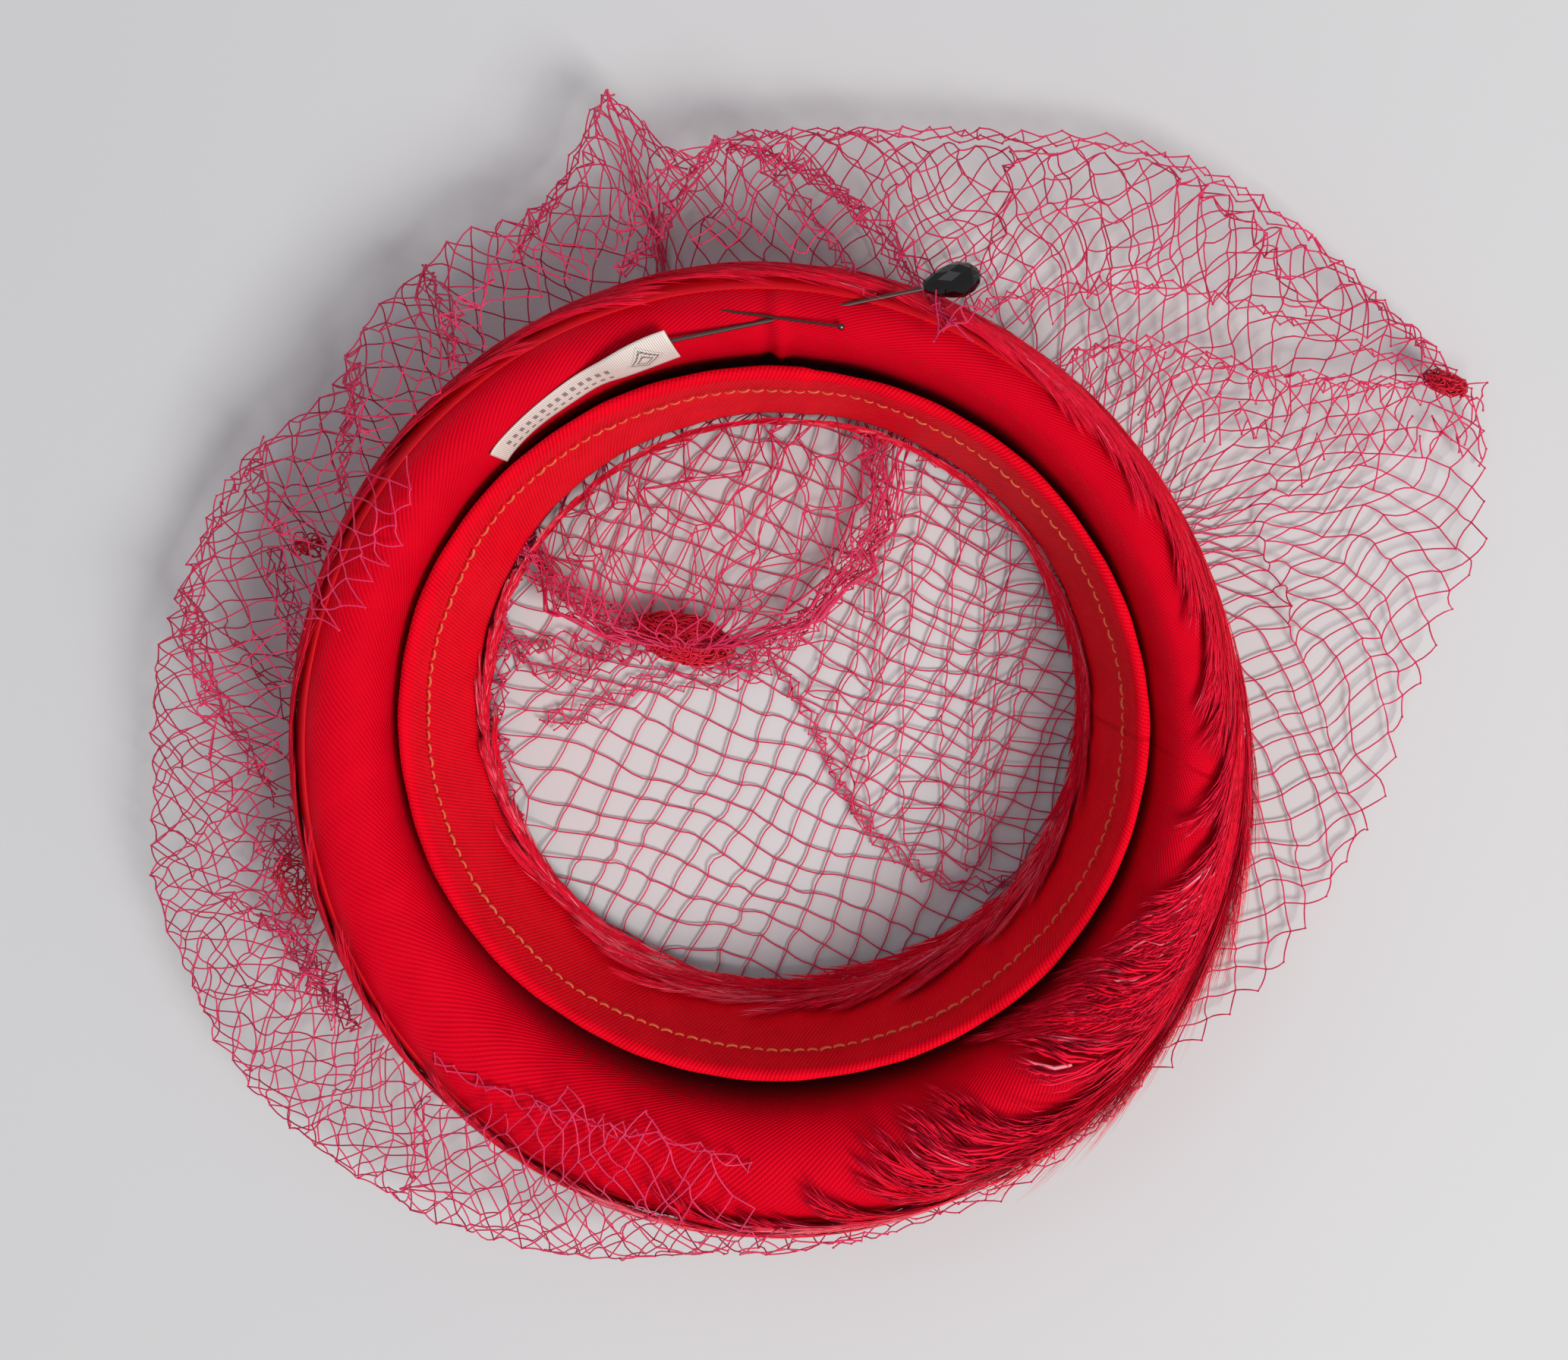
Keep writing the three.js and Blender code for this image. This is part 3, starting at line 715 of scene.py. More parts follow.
def barbs(base, heading, length, width, bend, lift, belly, tone, surface, stations=3):
    """Slim three-sided barbs lying on a surface. Each argument but the last two has a value a barb.

    base is (round, up) in millimetres, heading an angle on the surface, and bend how far the barb
    turns towards its tip. They rise from lift[0] at the root to lift[1] at the tip, and by belly
    between them.
    """
    count = len(length)
    share = np.linspace(0, 1, stations + 1)
    angle = heading[:, None] + bend[:, None] * share[None, :]
    step = length[:, None] / stations
    middle_angle = (angle[:, 1:] + angle[:, :-1]) / 2
    walk = np.stack([np.cos(middle_angle) * step, np.sin(middle_angle) * step], axis=2)
    spine = base[:, None, :] + np.concatenate([np.zeros((count, 1, 2)), np.cumsum(walk, axis=1)], axis=1)
    side = np.stack([-np.sin(angle), np.cos(angle)], axis=2)
    half = (width[:, None] / 2) * (1 - share[None, :] ** 2)
    height = lift[0][:, None] * (1 - share) + lift[1][:, None] * share + belly[:, None] * (
        4 * share * (1 - share))[None, :]
    points = []
    for station in range(stations):
        for way in (1, -1):
            edge = spine[:, station] + way * side[:, station] * half[:, station, None]
            points.append(surface(edge[:, 0], edge[:, 1], height[:, station]))
        points.append(surface(spine[:, station, 0], spine[:, station, 1],
                              height[:, station] + RIDGE * (1 - share[station])))
    points.append(surface(spine[:, -1, 0], spine[:, -1, 1], height[:, -1]))
    vertices = np.stack(points, axis=1)
    ring_faces = []
    for station in range(stations - 1):
        a, b = 3 * station, 3 * station + 3
        for k in range(3):
            n = (k + 1) % 3
            ring_faces.append((a + n, a + k, b + k, b + n))
    end = 3 * (stations - 1)
    tip_faces = [(end + (k + 1) % 3, end + k, 3 * stations) for k in range(3)] + [(0, 1, 2)]
    offset = np.arange(count)[:, None, None] * (3 * stations + 1)
    quads = (np.array(ring_faces)[None] + offset).reshape(-1, 4)
    triangles = (np.array(tip_faces)[None] + offset).reshape(-1, 3)
    point_share = np.concatenate([np.repeat(share[:stations], 3), [1.0]])
    tones = np.repeat(tone, 3 * stations + 1)
    tips = np.tile(point_share ** 2, count)
    return vertices.reshape(-1, 3), quads, triangles, tones, tips


def one_feather(rng, start, heading, length, width, surface, height, tone, curl=0.0, barb_pairs=60,
                splay=0.5, stray=0.0, straight=0.0):
    """All the barbs of one feather, and its quill as one long barb.

    tone runs from deep red at 0 to pale pink at 1, and splay is the barbs' angle to the quill.
    stray lifts the barbs' tips off the surface towards the feather's own tip, by up to that much, and
    straight is how far the feather keeps to a straight line where the ring under it turns away.
    """
    count = barb_pairs * 2
    along = np.sort(rng.uniform(0.02, 1, count) ** 0.85)
    side = np.where(np.arange(count) % 2 == 0, 1.0, -1.0)
    middle_angle = heading + curl * along / 2
    base = np.stack([start[0] + np.cos(middle_angle) * along * length,
                     start[1] + np.sin(middle_angle) * along * length], axis=1)
    spread = splay * (1 - 0.62 * along) * rng.uniform(0.55, 1.15, count)
    barb_length = width * (0.7 + 0.6 * np.sin(np.pi * np.clip(along * 0.9 + 0.08, 0, 1)) ** 0.7)
    barb_length *= rng.uniform(0.75, 1.25, count)
    leave = straight * rng.random(count) ** 1.4 / (2 * FEATHER_RING_RADIUS)
    root = height + 0.12 * rng.random(count)
    end = root + rng.uniform(-0.15, 0.3, count) + stray * along * rng.random(count) ** 3
    end += leave * (along * length + barb_length) ** 2
    root += leave * (along * length) ** 2
    # A few barbs catch the light, and a few lie deep in shade
    spark = rng.random(count)
    shade = tone + 0.07 * rng.standard_normal(count) + 0.35 * (spark > 0.965) - 0.25 * (spark < 0.08)
    made = barbs(base, heading + curl * along + side * spread, barb_length,
                 rng.uniform(0.3, 0.5, count), -side * spread * rng.uniform(0.5, 1.0, count),
                 (root, np.maximum(end, 0.05)), rng.uniform(0, 0.15, count),
                 np.clip(shade, 0, 1), surface)
    quill = barbs(np.array([start]), np.array([heading]), np.array([length]), np.array([QUILL_WIDTH]),
                  np.array([curl]), (np.array([height + 0.1]), np.array([height + 0.3])),
                  np.array([0.1]), np.array([min(tone, QUILL_TONE)]), surface, stations=8)
    return made, quill


def feather_bunch(name, parts, material):
    """Joins the feathers of one bunch into one mesh with its tone and tip values."""
    vertices, faces, tones, tips, drop = [], [], [], [], 0
    for points, quads, triangles, tone, tip in parts:
        vertices.append(points)
        faces += (quads + drop).tolist() + (triangles + drop).tolist()
        tones.append(tone)
        tips.append(tip)
        drop += len(points)
    piece = mesh_object(name, np.concatenate(vertices), faces, material)
    for attribute, values in (("tone", tones), ("tip", tips)):
        piece.data.attributes.new(attribute, "FLOAT", "POINT").data.foreach_set(
            "value", np.concatenate(values).astype(np.float32))
    return piece


def lay_bunches(bunches, piece_name, node_name):
    """Makes a piece of each bunch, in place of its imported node."""
    for number, parts in enumerate(bunches, 1):
        bunch = feather_bunch(f"{piece_name}_{number:02d}", parts, hackle)
        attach(bunch, "hat")
        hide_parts(f"{node_name}_{number:02d}")


CLOCKWISE = math.pi
BUNCHES = 16
ROWS = [4, 15, 26, 36, 45, 53, 60]            # starts of the rows up the section, in millimetres
FEATHERS_IN_ROW = 26
RIM_FEATHERS = 96
FAN_FEATHERS = 30
LOOSE_FEATHERS = 34
FRONT_FEATHERS = 7
# How far up the section the last row's tips reach: degrees and millimetres. Over the rim at the right
TIP_REACH = [(-180, 71), (-150, 74), (-120, 75), (-98, 77), (-82, 79), (-66, 84), (-53, 97),
             (-44, 97), (-34, 92), (-22, 85), (-10, 80), (10, 77), (35, 76), (60, 75), (85, 72),
             (120, 71), (150, 70)]
hackle = dyed_feather()
outer_parts = [[] for _ in range(BUNCHES)]


def turn_from(degrees, at):
    """The angle from one direction to another, between -180 and 180 degrees."""
    return (degrees - at + 180) % 360 - 180


def between_angles(degrees, table):
    """A value that is set at a few angles and eased between them, all the way round."""
    at, value = np.array(table, float).T
    return np.interp(degrees, at, value, period=360)


def lay_feather(rng, degrees, up, tip_up, length, width, height, tone, **shape):
    """Lays a feather clockwise from a place, so that its tip ends so far up the section."""
    rise = math.asin(np.clip((tip_up - up) / length, -0.5, 0.8))
    bunch = int((degrees % 360) // (360 / BUNCHES))
    outer_parts[bunch].extend(one_feather(
        rng, (math.radians(degrees) * FEATHER_RING_RADIUS, up), CLOCKWISE - rise, length, width, on_brim,
        height, tone, **shape))


rng = np.random.default_rng(5)
for layer, row_start in enumerate(ROWS):
    for k in range(FEATHERS_IN_ROW):
        degrees = (k + 0.5 * (layer % 2) + rng.uniform(-0.3, 0.3)) * 360 / FEATHERS_IN_ROW
        begin = row_start + rng.uniform(-3, 3)
        length = rng.uniform(44, 58)
        reach = float(between_angles(degrees - 27, TIP_REACH)) - 4
        tip_up = min(begin + rng.uniform(9, 16), reach + rng.uniform(-3, 1))
        lay_feather(rng, degrees, begin, tip_up, length, rng.uniform(13, 18), 0.15 + 0.25 * rng.random(),
                    rng.uniform(0.3, 0.65), curl=rng.uniform(-0.12, 0.12), splay=0.36)

# The last row goes over the rim, furthest at the front right, where loose tips stray over the lining
for k in range(RIM_FEATHERS):
    degrees = k * 360 / RIM_FEATHERS + rng.uniform(-3, 3)
    fan = math.exp(-(turn_from(degrees, -18) / 17) ** 2)
    loose = math.exp(-(turn_from(degrees, -22) / 40) ** 2)
    length = rng.uniform(38, 48) + 16 * fan
    reach = float(between_angles(degrees - 0.5 * length, TIP_REACH))
    tip_up = reach - (0.1 + 0.9 * rng.random()) * (4 + 26 * fan)
    lay_feather(rng, degrees, rng.uniform(58, 66), tip_up, length, rng.uniform(11, 15) + 7 * fan,
                0.5 + 0.4 * rng.random(), rng.uniform(0.4, 0.75), curl=rng.uniform(-0.15, 0.1) - 0.1 * fan,
                splay=0.34, stray=0.8 + 1.5 * loose, barb_pairs=54 + int(24 * fan),
                straight=0.22 * loose * rng.random())

# A fan of longer feathers lies over them there, its tips spread from the gap to beyond the rim
for k in range(FAN_FEATHERS):
    share = k / (FAN_FEATHERS - 1)
    lay_feather(rng, 10 - 34 * share + rng.uniform(-2, 2), rng.uniform(62, 74),
                80 + 17 * share + rng.uniform(-5, 1), rng.uniform(50, 60), rng.uniform(15, 20),
                0.9 + 0.4 * rng.random(), rng.uniform(0.4, 0.8), curl=rng.uniform(-0.12, 0.04),
                splay=0.3, stray=1.5, barb_pairs=84)

# Loose ones stand off the ring at the right, where their tips keep straight as it curves away
for k in range(LOOSE_FEATHERS):
    lay_feather(rng, 20 - 46 * k / (LOOSE_FEATHERS - 1) + rng.uniform(-3, 3), rng.uniform(56, 66),
                rng.uniform(60, 72), rng.uniform(40, 54), rng.uniform(12, 17), 0.9 + 0.5 * rng.random(),
                rng.uniform(0.5, 0.9), curl=rng.uniform(-0.05, 0.1), splay=0.26, stray=1.5,
                barb_pairs=48, straight=rng.uniform(0.2, 0.5))

# At the front, the rim's last feathers catch the light
for k in range(FRONT_FEATHERS):
    lay_feather(rng, -56 - 5 * k + rng.uniform(-2, 2), rng.uniform(66, 70), rng.uniform(72, 78),
                rng.uniform(44, 54), rng.uniform(9, 13), 1.3 + 0.4 * rng.random(), rng.uniform(0.8, 1.0),
                curl=rng.uniform(-0.08, 0.08), splay=0.25, stray=1.0, barb_pairs=40)

lay_bunches(outer_parts, "hackle_bunch", "outer_feathers")

# ---- Feathers at the crown's edge ----
# Shorter, downier feathers glued over the edge of the open crown. They fringe the opening inside the
# bandeau, and a few wisps stand up over it.

# Down the band's wall and in over the crown's edge, as [radius, height]
CROWN_SECTION = [(80.4, 32), (78.6, 24), (76.4, 15), (74.6, 8), (72.2, 4.6), (69, 3.0), (64, 2.4),
                 (58, 2.2)]
crown_line, crown_run = smooth_line(CROWN_SECTION, 90)
crown_normals = section_normals(crown_line)
CROWN_RADIUS = 74.0


def on_crown_edge(round_mm, in_mm, lift_mm):
    """Places (distance round, distance down and inwards, height) on the bandeau's foot."""
    turn = round_mm / CROWN_RADIUS
    radius, height = off_section(crown_line, crown_normals, crown_run, in_mm, lift_mm)
    return np.stack([RING[0] + radius * np.cos(turn),
                     RING[1] + BANDEAU_SHIFT[1] + radius * BANDEAU_OVAL[1] * np.sin(turn),
                     np.maximum(height, 0.6)], axis=-1)


CROWN_FEATHERS = 170
CROWN_BUNCHES = 8
crown_parts = [[] for _ in range(CROWN_BUNCHES)]
rng = np.random.default_rng(23)
for k in range(CROWN_FEATHERS):
    degrees = k * 360 / CROWN_FEATHERS + rng.uniform(-2, 2)
    # They are fullest at the front right, and only line the foot of the band at the back
    thick = 0.5 + 0.5 * math.cos(math.radians(degrees + 60))
    start = (math.radians(degrees) * CROWN_RADIUS, 28 - 6 * thick * rng.random())
    heading = CLOCKWISE + rng.uniform(0.0, 0.1) + 0.5 * thick * rng.random() ** 1.5
    crown_parts[int((degrees % 360) // (360 / CROWN_BUNCHES))].extend(one_feather(
        rng, start, heading, 14 + 18 * thick * rng.uniform(0.7, 1.1), 4 + 5 * thick, on_crown_edge,
        0.3 + 0.9 * rng.random() * thick, rng.uniform(0.55, 0.98), curl=rng.uniform(-0.3, 0.1),
        barb_pairs=20 + int(24 * thick), splay=0.3 + 0.15 * thick, stray=1.2 * thick))

lay_bunches(crown_parts, "crown_down", "crown_feathers")

# ---- Hat pin ----
# A steel hat pin with a pear-shaped head of faceted black pressed glass, pushed through the brim from
# the outside. Its shaft shows again on the lining, and its point is under the label.


def black_glass():
    """Pressed jet glass: near black, with sharp highlights from its flat facets."""
    material, tree, out = new_material("pressed_jet_glass")
    place = add_node(tree, "ShaderNodeTexCoord")
    dust = add_node(tree, "ShaderNodeTexNoise", {
        "Vector": place.outputs["Object"], "Scale": 700.0, "Detail": 4.0})
    rough = add_node(tree, "ShaderNodeMapRange", {
        "Value": dust.outputs["Fac"], "From Min": 0.4, "From Max": 0.8, "To Min": 0.03,
        "To Max": 0.12})
    shader = add_node(tree, "ShaderNodeBsdfPrincipled", {
        "Base Color": linear("#050304"), "Roughness": rough.outputs["Result"], "IOR": 1.5,
        "Coat Weight": 0.1, "Coat Roughness": 0.03})
    tree.links.new(shader.outputs["BSDF"], out.inputs["Surface"])
    return material


PIN_AXIS = Vector(frame["joints"][0]["axis"]).normalized()
BEAD_LENGTH = 13.2
BEAD_FACETS = 10
# Its rings of corners, from the shaft's end out: how far along the bead, and the radius
BEAD_RINGS = [(0.0, 1.0), (0.06, 1.7), (0.24, 2.9), (0.46, 3.85), (0.64, 4.05), (0.82, 3.3),
              (0.94, 1.9)]


def faceted_bead():
    """Rings of flat facets round the pin's axis, each ring turned half a facet from the last."""
    axis = np.array(PIN_AXIS)
    side = np.cross(axis, (0, 0, 1))
    side /= np.linalg.norm(side)
    top = np.cross(side, axis)
    start = middle("hat_pin_bead") - axis * BEAD_LENGTH / 2
    points = [start]
    for row, (share, radius) in enumerate(BEAD_RINGS):
        for k in range(BEAD_FACETS):
            turn = 2 * math.pi * (k + 0.5 * (row % 2)) / BEAD_FACETS
            points.append(start + axis * share * BEAD_LENGTH
                          + (side * math.cos(turn) + top * math.sin(turn)) * radius)
    points.append(start + axis * BEAD_LENGTH)
    faces = []
    for row in range(len(BEAD_RINGS) - 1):
        a, b = 1 + row * BEAD_FACETS, 1 + (row + 1) * BEAD_FACETS
        for k in range(BEAD_FACETS):
            n = (k + 1) % BEAD_FACETS
            m = k if row % 2 == 0 else n
            faces += [(a + k, b + m, a + n), (b + m, b + (m + 1) % BEAD_FACETS, a + n)]
    last = 1 + (len(BEAD_RINGS) - 1) * BEAD_FACETS
    for k in range(BEAD_FACETS):
        n = (k + 1) % BEAD_FACETS
        faces += [(0, 1 + k, 1 + n), (last + n, last + k, len(points) - 1)]
    return mesh_object("jet_glass_bead", points, faces, black_glass(), smooth=False)


def outward(piece):
    """Turns every face of a closed piece outwards."""
    mesh = bmesh.new()
    mesh.from_mesh(piece.data)
    bmesh.ops.recalc_face_normals(mesh, faces=mesh.faces)
    mesh.to_mesh(piece.data)
    mesh.free()


bead = faceted_bead()
outward(bead)
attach(bead, "hat_pin")
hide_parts("hat_pin_bead")

# ---- Netting ----
# French netting: one thread, knotted into square cells that hang as diamonds. The veil is gathered
# under the crown, spreads over the table and is turned back over itself onto the rim, in folds.

CELL = 5.9
# A real thread is 0.2 to 0.3 mm thick, too fine to show, so it is drawn thicker
THREAD = 0.39


def net_thread(name, hex_colour, light_hex):
    """Stiffened rayon thread, magenta-red, paler where the size on it catches the light."""
    material, tree, out = new_material(name)
    place = add_node(tree, "ShaderNodeTexCoord")
    uneven = add_node(tree, "ShaderNodeTexNoise", {
        "Vector": place.outputs["Object"], "Scale": 60.0, "Detail": 2.0})
    tint = add_node(tree, "ShaderNodeMix", {
        "Factor": uneven.outputs["Fac"], "A": linear(hex_colour),
        "B": linear(light_hex)}, data_type="RGBA")
    fibre = add_node(tree, "ShaderNodeTexNoise", {"Vector": place.outputs["Object"], "Scale": 3500.0})
    raised = add_node(tree, "ShaderNodeBump", {
        "Height": fibre.outputs["Fac"], "Strength": 0.3, "Distance": 0.04 * MM})
    shader = add_node(tree, "ShaderNodeBsdfPrincipled", {
        "Base Color": tint.outputs["Result"], "Roughness": 0.45, "Specular IOR Level": 0.3,
        "Sheen Weight": 0.1, "Sheen Tint": linear("#ff7a9c"), "Normal": raised.outputs["Normal"]})
    tree.links.new(shader.outputs["BSDF"], out.inputs["Surface"])
    return material


def netting_tree():
    """A tube along every edge of a mesh, and a small lump at every point marked as a knot."""
    tree, given, out = named_tree("knotted_thread", [
        ("Thread", "NodeSocketFloat"), ("Knot", "NodeSocketFloat"), ("Material", "NodeSocketMaterial")])
    line = add_node(tree, "GeometryNodeMeshToCurve", {"Mesh": given.outputs["Geometry"]})
    profile = add_node(tree, "GeometryNodeCurvePrimitiveCircle", {
        "Resolution": 5, "Radius": given.outputs["Thread"]})
    tube = add_node(tree, "GeometryNodeCurveToMesh", {
        "Curve": line.outputs["Curve"], "Profile Curve": profile.outputs["Curve"], "Fill Caps": True})
    tied = add_node(tree, "GeometryNodeInputNamedAttribute", {"Name": "knot"}, data_type="BOOLEAN")
    places = add_node(tree, "GeometryNodeMeshToPoints", {
        "Mesh": given.outputs["Geometry"], "Selection": tied.outputs["Attribute"]})
    ball = add_node(tree, "GeometryNodeMeshIcoSphere", {
        "Radius": given.outputs["Knot"], "Subdivisions": 1})
    turned = add_node(tree, "FunctionNodeRandomValue", {
        0: (0, 0, 0), 1: (6.28, 6.28, 6.28), "Seed": 2}, data_type="FLOAT_VECTOR")
    knots = add_node(tree, "GeometryNodeInstanceOnPoints", {
        "Points": places.outputs["Points"], "Instance": ball.outputs["Mesh"],
        "Rotation": turned.outputs["Value"]})
    both = add_node(tree, "GeometryNodeJoinGeometry")
    tree.links.new(tube.outputs["Mesh"], both.inputs["Geometry"])
    tree.links.new(knots.outputs["Instances"], both.inputs["Geometry"])
    real = add_node(tree, "GeometryNodeRealizeInstances", {"Geometry": both.outputs["Geometry"]})
    done = add_node(tree, "GeometryNodeSetMaterial", {
        "Geometry": real.outputs["Geometry"], "Material": given.outputs["Material"]})
    tree.links.new(done.outputs["Geometry"], out.inputs["Geometry"])
    return tree


net_material = net_thread("sized_rayon_net", "#b00c3c", "#ea3a6e")
wad_material = net_thread("matted_rayon_net", "#a4001c", "#e01038")
knotted = netting_tree()


def net_piece(name, knots, edges, rng, thread=THREAD, bow=0.35, has_knots=True,
              material=net_material):
    """Turns a net's knots and the threads between them into one mesh of thin closed tubes."""
    start, end = knots[edges[:, 0]], knots[edges[:, 1]]
    sway = rng.normal(0, bow, (len(edges), 3)) * (1, 1, 0.5)
    first = start * 2 / 3 + end / 3 + sway
    second = start / 3 + end * 2 / 3 + sway
    points = np.concatenate([knots, first, second])
    points[:, 2] = np.maximum(points[:, 2], THREAD)
    a = len(knots) + np.arange(len(edges))
    b = a + len(edges)
    segments = np.concatenate([np.stack([edges[:, 0], a], 1), np.stack([a, b], 1),
                               np.stack([b, edges[:, 1]], 1)])
    seed = mesh_object(name + "_lines", points, [], edges=segments.tolist())
    flags = np.zeros(len(points), bool)
    flags[:len(knots)] = has_knots
    seed.data.attributes.new("knot", "BOOLEAN", "POINT").data.foreach_set("value", flags)
    piece = grown(name, seed, knotted, {"Thread": thread / 2 * MM, "Knot": thread * 0.85 * MM,
                                        "Material": material})
    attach(piece, "hat")
    return piece


def used_only(knots, edges):
    """Drops the knots that no thread reaches."""
    kept, places = np.unique(edges, return_inverse=True)
    return knots[kept], places.reshape(-1, 2)


def node_points(node):
    """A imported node's points, in millimetres."""
    mesh = frame["nodes"][node].data
    points = np.empty(len(mesh.vertices) * 3, np.float32)
    mesh.vertices.foreach_get("co", points)
    return points.reshape(-1, 3) / MM


VEIL_PANELS = 10
panel_points = np.concatenate([node_points(f"veil_panel_{n:02d}") for n in range(1, VEIL_PANELS + 1)])
panel_off = panel_points[:, :2] - RING[:2]
panel_radius = np.hypot(*panel_off.T)
panel_degrees = np.degrees(np.arctan2(panel_off[:, 1], panel_off[:, 0]))
EDGE_STEP = 7.5
edge_degrees = np.arange(0, 360, EDGE_STEP)
edge_radii = np.array([panel_radius[np.abs(turn_from(panel_degrees, at)) < EDGE_STEP / 2].max()
                       for at in edge_degrees])
# Small points and dips in the turned edge: degrees, millimetres out, and half-width in degrees
EDGE_DETAIL = [(105.2, 10, 2.4), (99.8, -7, 2.2), (112, -4, 2.5), (123, 3, 4), (117, -3, 3),
               (144, -5, 5), (133, 2, 3), (25, 3, 3), (60, 2, 6), (47, -1, 5), (85, 2, 5), (196, 2, 6),
               (242, -2, 5), (250, 2, 5)]


def edge_radius(degrees):
    """How far out the veil reaches: to its packed panels, with the points and dips added."""
    radius = np.interp(degrees, edge_degrees, edge_radii, period=360)
    for at, out, width in EDGE_DETAIL:
        radius = radius + out * np.exp(-(turn_from(degrees, at) / width) ** 2)
    return radius


# Where the turned-back layer ends: degrees and radius. None of it is left at the front right.
TURNED_END = [(27, 190), (30, 170), (36, 158), (45, 139), (54, 122), (61, 106), (68, 98), (75, 112),
              (100, 112), (120, 111), (135, 104), (148, 93), (158, 89), (168, 99), (180, 110),
              (215, 111), (228, 104), (240, 93), (255, 89), (266, 96), (275, 107), (286, 113),
              (296, 132), (304, 160)]
# How high the veil's turned edge stands off the table
EDGE_HEIGHT = [(0, 2), (22, 5), (30, 12), (60, 14), (90, 16), (120, 15), (180, 14), (240, 12),
               (280, 9), (305, 4), (330, 2)]
# The top of the ring as the net lies on it
RIM_TOP = np.array([(86, 48), (90, 52.6), (95, 54.6), (100, 54.6), (104, 53.2), (107, 50.5),
                    (109.6, 46), (111, 40)], float)
# How far apart the knots of the edge are: the net is pulled wide along its free edge at the right
EDGE_PITCH = [(-70, 7.8), (-45, 9.6), (0, 9.8), (20, 9.0), (35, 7.6), (180, 7.4)]


def first_row():
    """The knots of the veil's edge, stepped evenly along it."""
    fine = np.linspace(0, 360, 3600, endpoint=False)
    radius = edge_radius(fine)
    line = np.stack([radius * np.cos(np.radians(fine)), radius * np.sin(np.radians(fine))], axis=1)
    closed = np.vstack([line, line[:1]])
    pitch = between_angles(np.append(fine, 0), EDGE_PITCH)[1:]
    run = np.concatenate([[0], np.cumsum(np.linalg.norm(np.diff(closed, axis=0), axis=1) / pitch)])
    count = round(run[-1])
    even = np.arange(count) * run[-1] / count
    return np.stack([np.interp(even, run, closed[:, axis]) for axis in (0, 1)], axis=1)


def knit_inwards(row, count, pull, slope):
    """Rows of knots, each made from the one outside it with threads of a cell's length.

    pull turns the rows' heading towards the ring's centre, and slope shortens them where they climb.
    """
    rows = [row]
    for _ in range(count):
        row = rows[-1]
        ahead = np.roll(row, -1, axis=0)
        gap = ahead - row
        width = np.linalg.norm(gap, axis=1)
        inward = np.stack([-gap[:, 1], gap[:, 0]], axis=1) / np.maximum(width, 0.5)[:, None]
        for _ in range(6):
            inward = (np.roll(inward, 1, axis=0) + 2 * inward + np.roll(inward, -1, axis=0)) / 4
        inward /= np.linalg.norm(inward, axis=1, keepdims=True)
        halfway = (row + ahead) / 2
        distance = np.linalg.norm(halfway, axis=1, keepdims=True)
        centre = -halfway / distance
        heading = inward * (1 - pull) + centre * pull
        heading /= np.linalg.norm(heading, axis=1, keepdims=True)
        reach = np.sqrt(np.maximum(CELL ** 2 - (width / 2) ** 2, (0.35 * CELL) ** 2))
        degrees = np.degrees(np.arctan2(halfway[:, 1], halfway[:, 0])) % 360
        inner = halfway + heading * (reach * slope(degrees, distance[:, 0]))[:, None]
        for _ in range(2):
            inner = (np.roll(inner, 1, axis=0) + 4 * inner + np.roll(inner, -1, axis=0)) / 6
        rows.append(inner)
    # The outermost half cells are shallow
    rows[0] = rows[0] * 0.55 + (rows[1] + np.roll(rows[1], 1, axis=0)) / 2 * 0.45
    return np.array(rows)


def row_edges(rows, count):
    """The threads between rows of knots that run all the way round."""
    i, j = np.meshgrid(np.arange(count), np.arange(rows - 1), indexing="xy")
    here, beside = j * count + i, j * count + (i + 1) % count
    inner = (j + 1) * count + i
    return np.concatenate([np.stack([here.ravel(), inner.ravel()], 1),
                           np.stack([beside.ravel(), inner.ravel()], 1)])


def wander(points, seed, size, length):
    """A smooth uneven shift, the same wherever two layers meet."""
    phase = np.random.default_rng(seed).uniform(0, 2 * np.pi, (5, 4))
    shift = np.zeros((len(points), 2))
    for n in range(5):
        wave = 2 * np.pi / (length * (0.6 + 0.25 * n))
        turn = phase[n, 3]
        along = points[:, 0] * np.cos(turn) + points[:, 1] * np.sin(turn)
        shift[:, 0] += np.sin(along * wave + phase[n, 0]) / (1 + 0.4 * n)
        shift[:, 1] += np.sin(along * wave * 1.3 + phase[n, 1]) / (1 + 0.4 * n)
    return shift * size / 2


def pleat(knots, start, end, width, depth, height, bend=0.0):
    """Draws the net together along a line until it doubles over itself, and lifts it there."""
    a, b = np.array(start, float), np.array(end, float)
    run = np.linalg.norm(b - a)
    along = (b - a) / run
    off = knots[:, :2] - a
    t = off @ along / run
    side = np.stack([-along[1], along[0]])
    q = off @ side - bend * 4 * np.clip(t, 0, 1) * (1 - np.clip(t, 0, 1))
    window = np.clip(np.minimum((t + 0.15) / 0.3, (1.15 - t) / 0.3), 0, 1)
    window = eased(window)
    draw = depth * window * np.tanh(q / width * 1.6) * np.exp(-(q / (2.4 * width)) ** 2)
    moved = knots.copy()
    moved[:, :2] -= side * draw[:, None]
    moved[:, 2] += height * window * np.exp(-(q / width) ** 2)
    return moved


rng = np.random.default_rng(31)
UNDER_ROWS = 22
OVER_ROWS = 24
edge_row = first_row()
PER_ROW = len(edge_row)
under_rows = knit_inwards(edge_row, UNDER_ROWS, 0.3, lambda degrees, radius: np.ones(len(radius)))


def turned_slope(degrees, radius):
    """The turned-back layer climbs from the table's edge to the rim, so its rows look closer."""
    climb = np.clip((edge_radius(degrees) - 108) / 46, 0.2, 1)
    steep = np.where(radius > 110, 0.62 + 0.2 * climb, 0.95)
    return np.clip(steep, 0.3, 1)


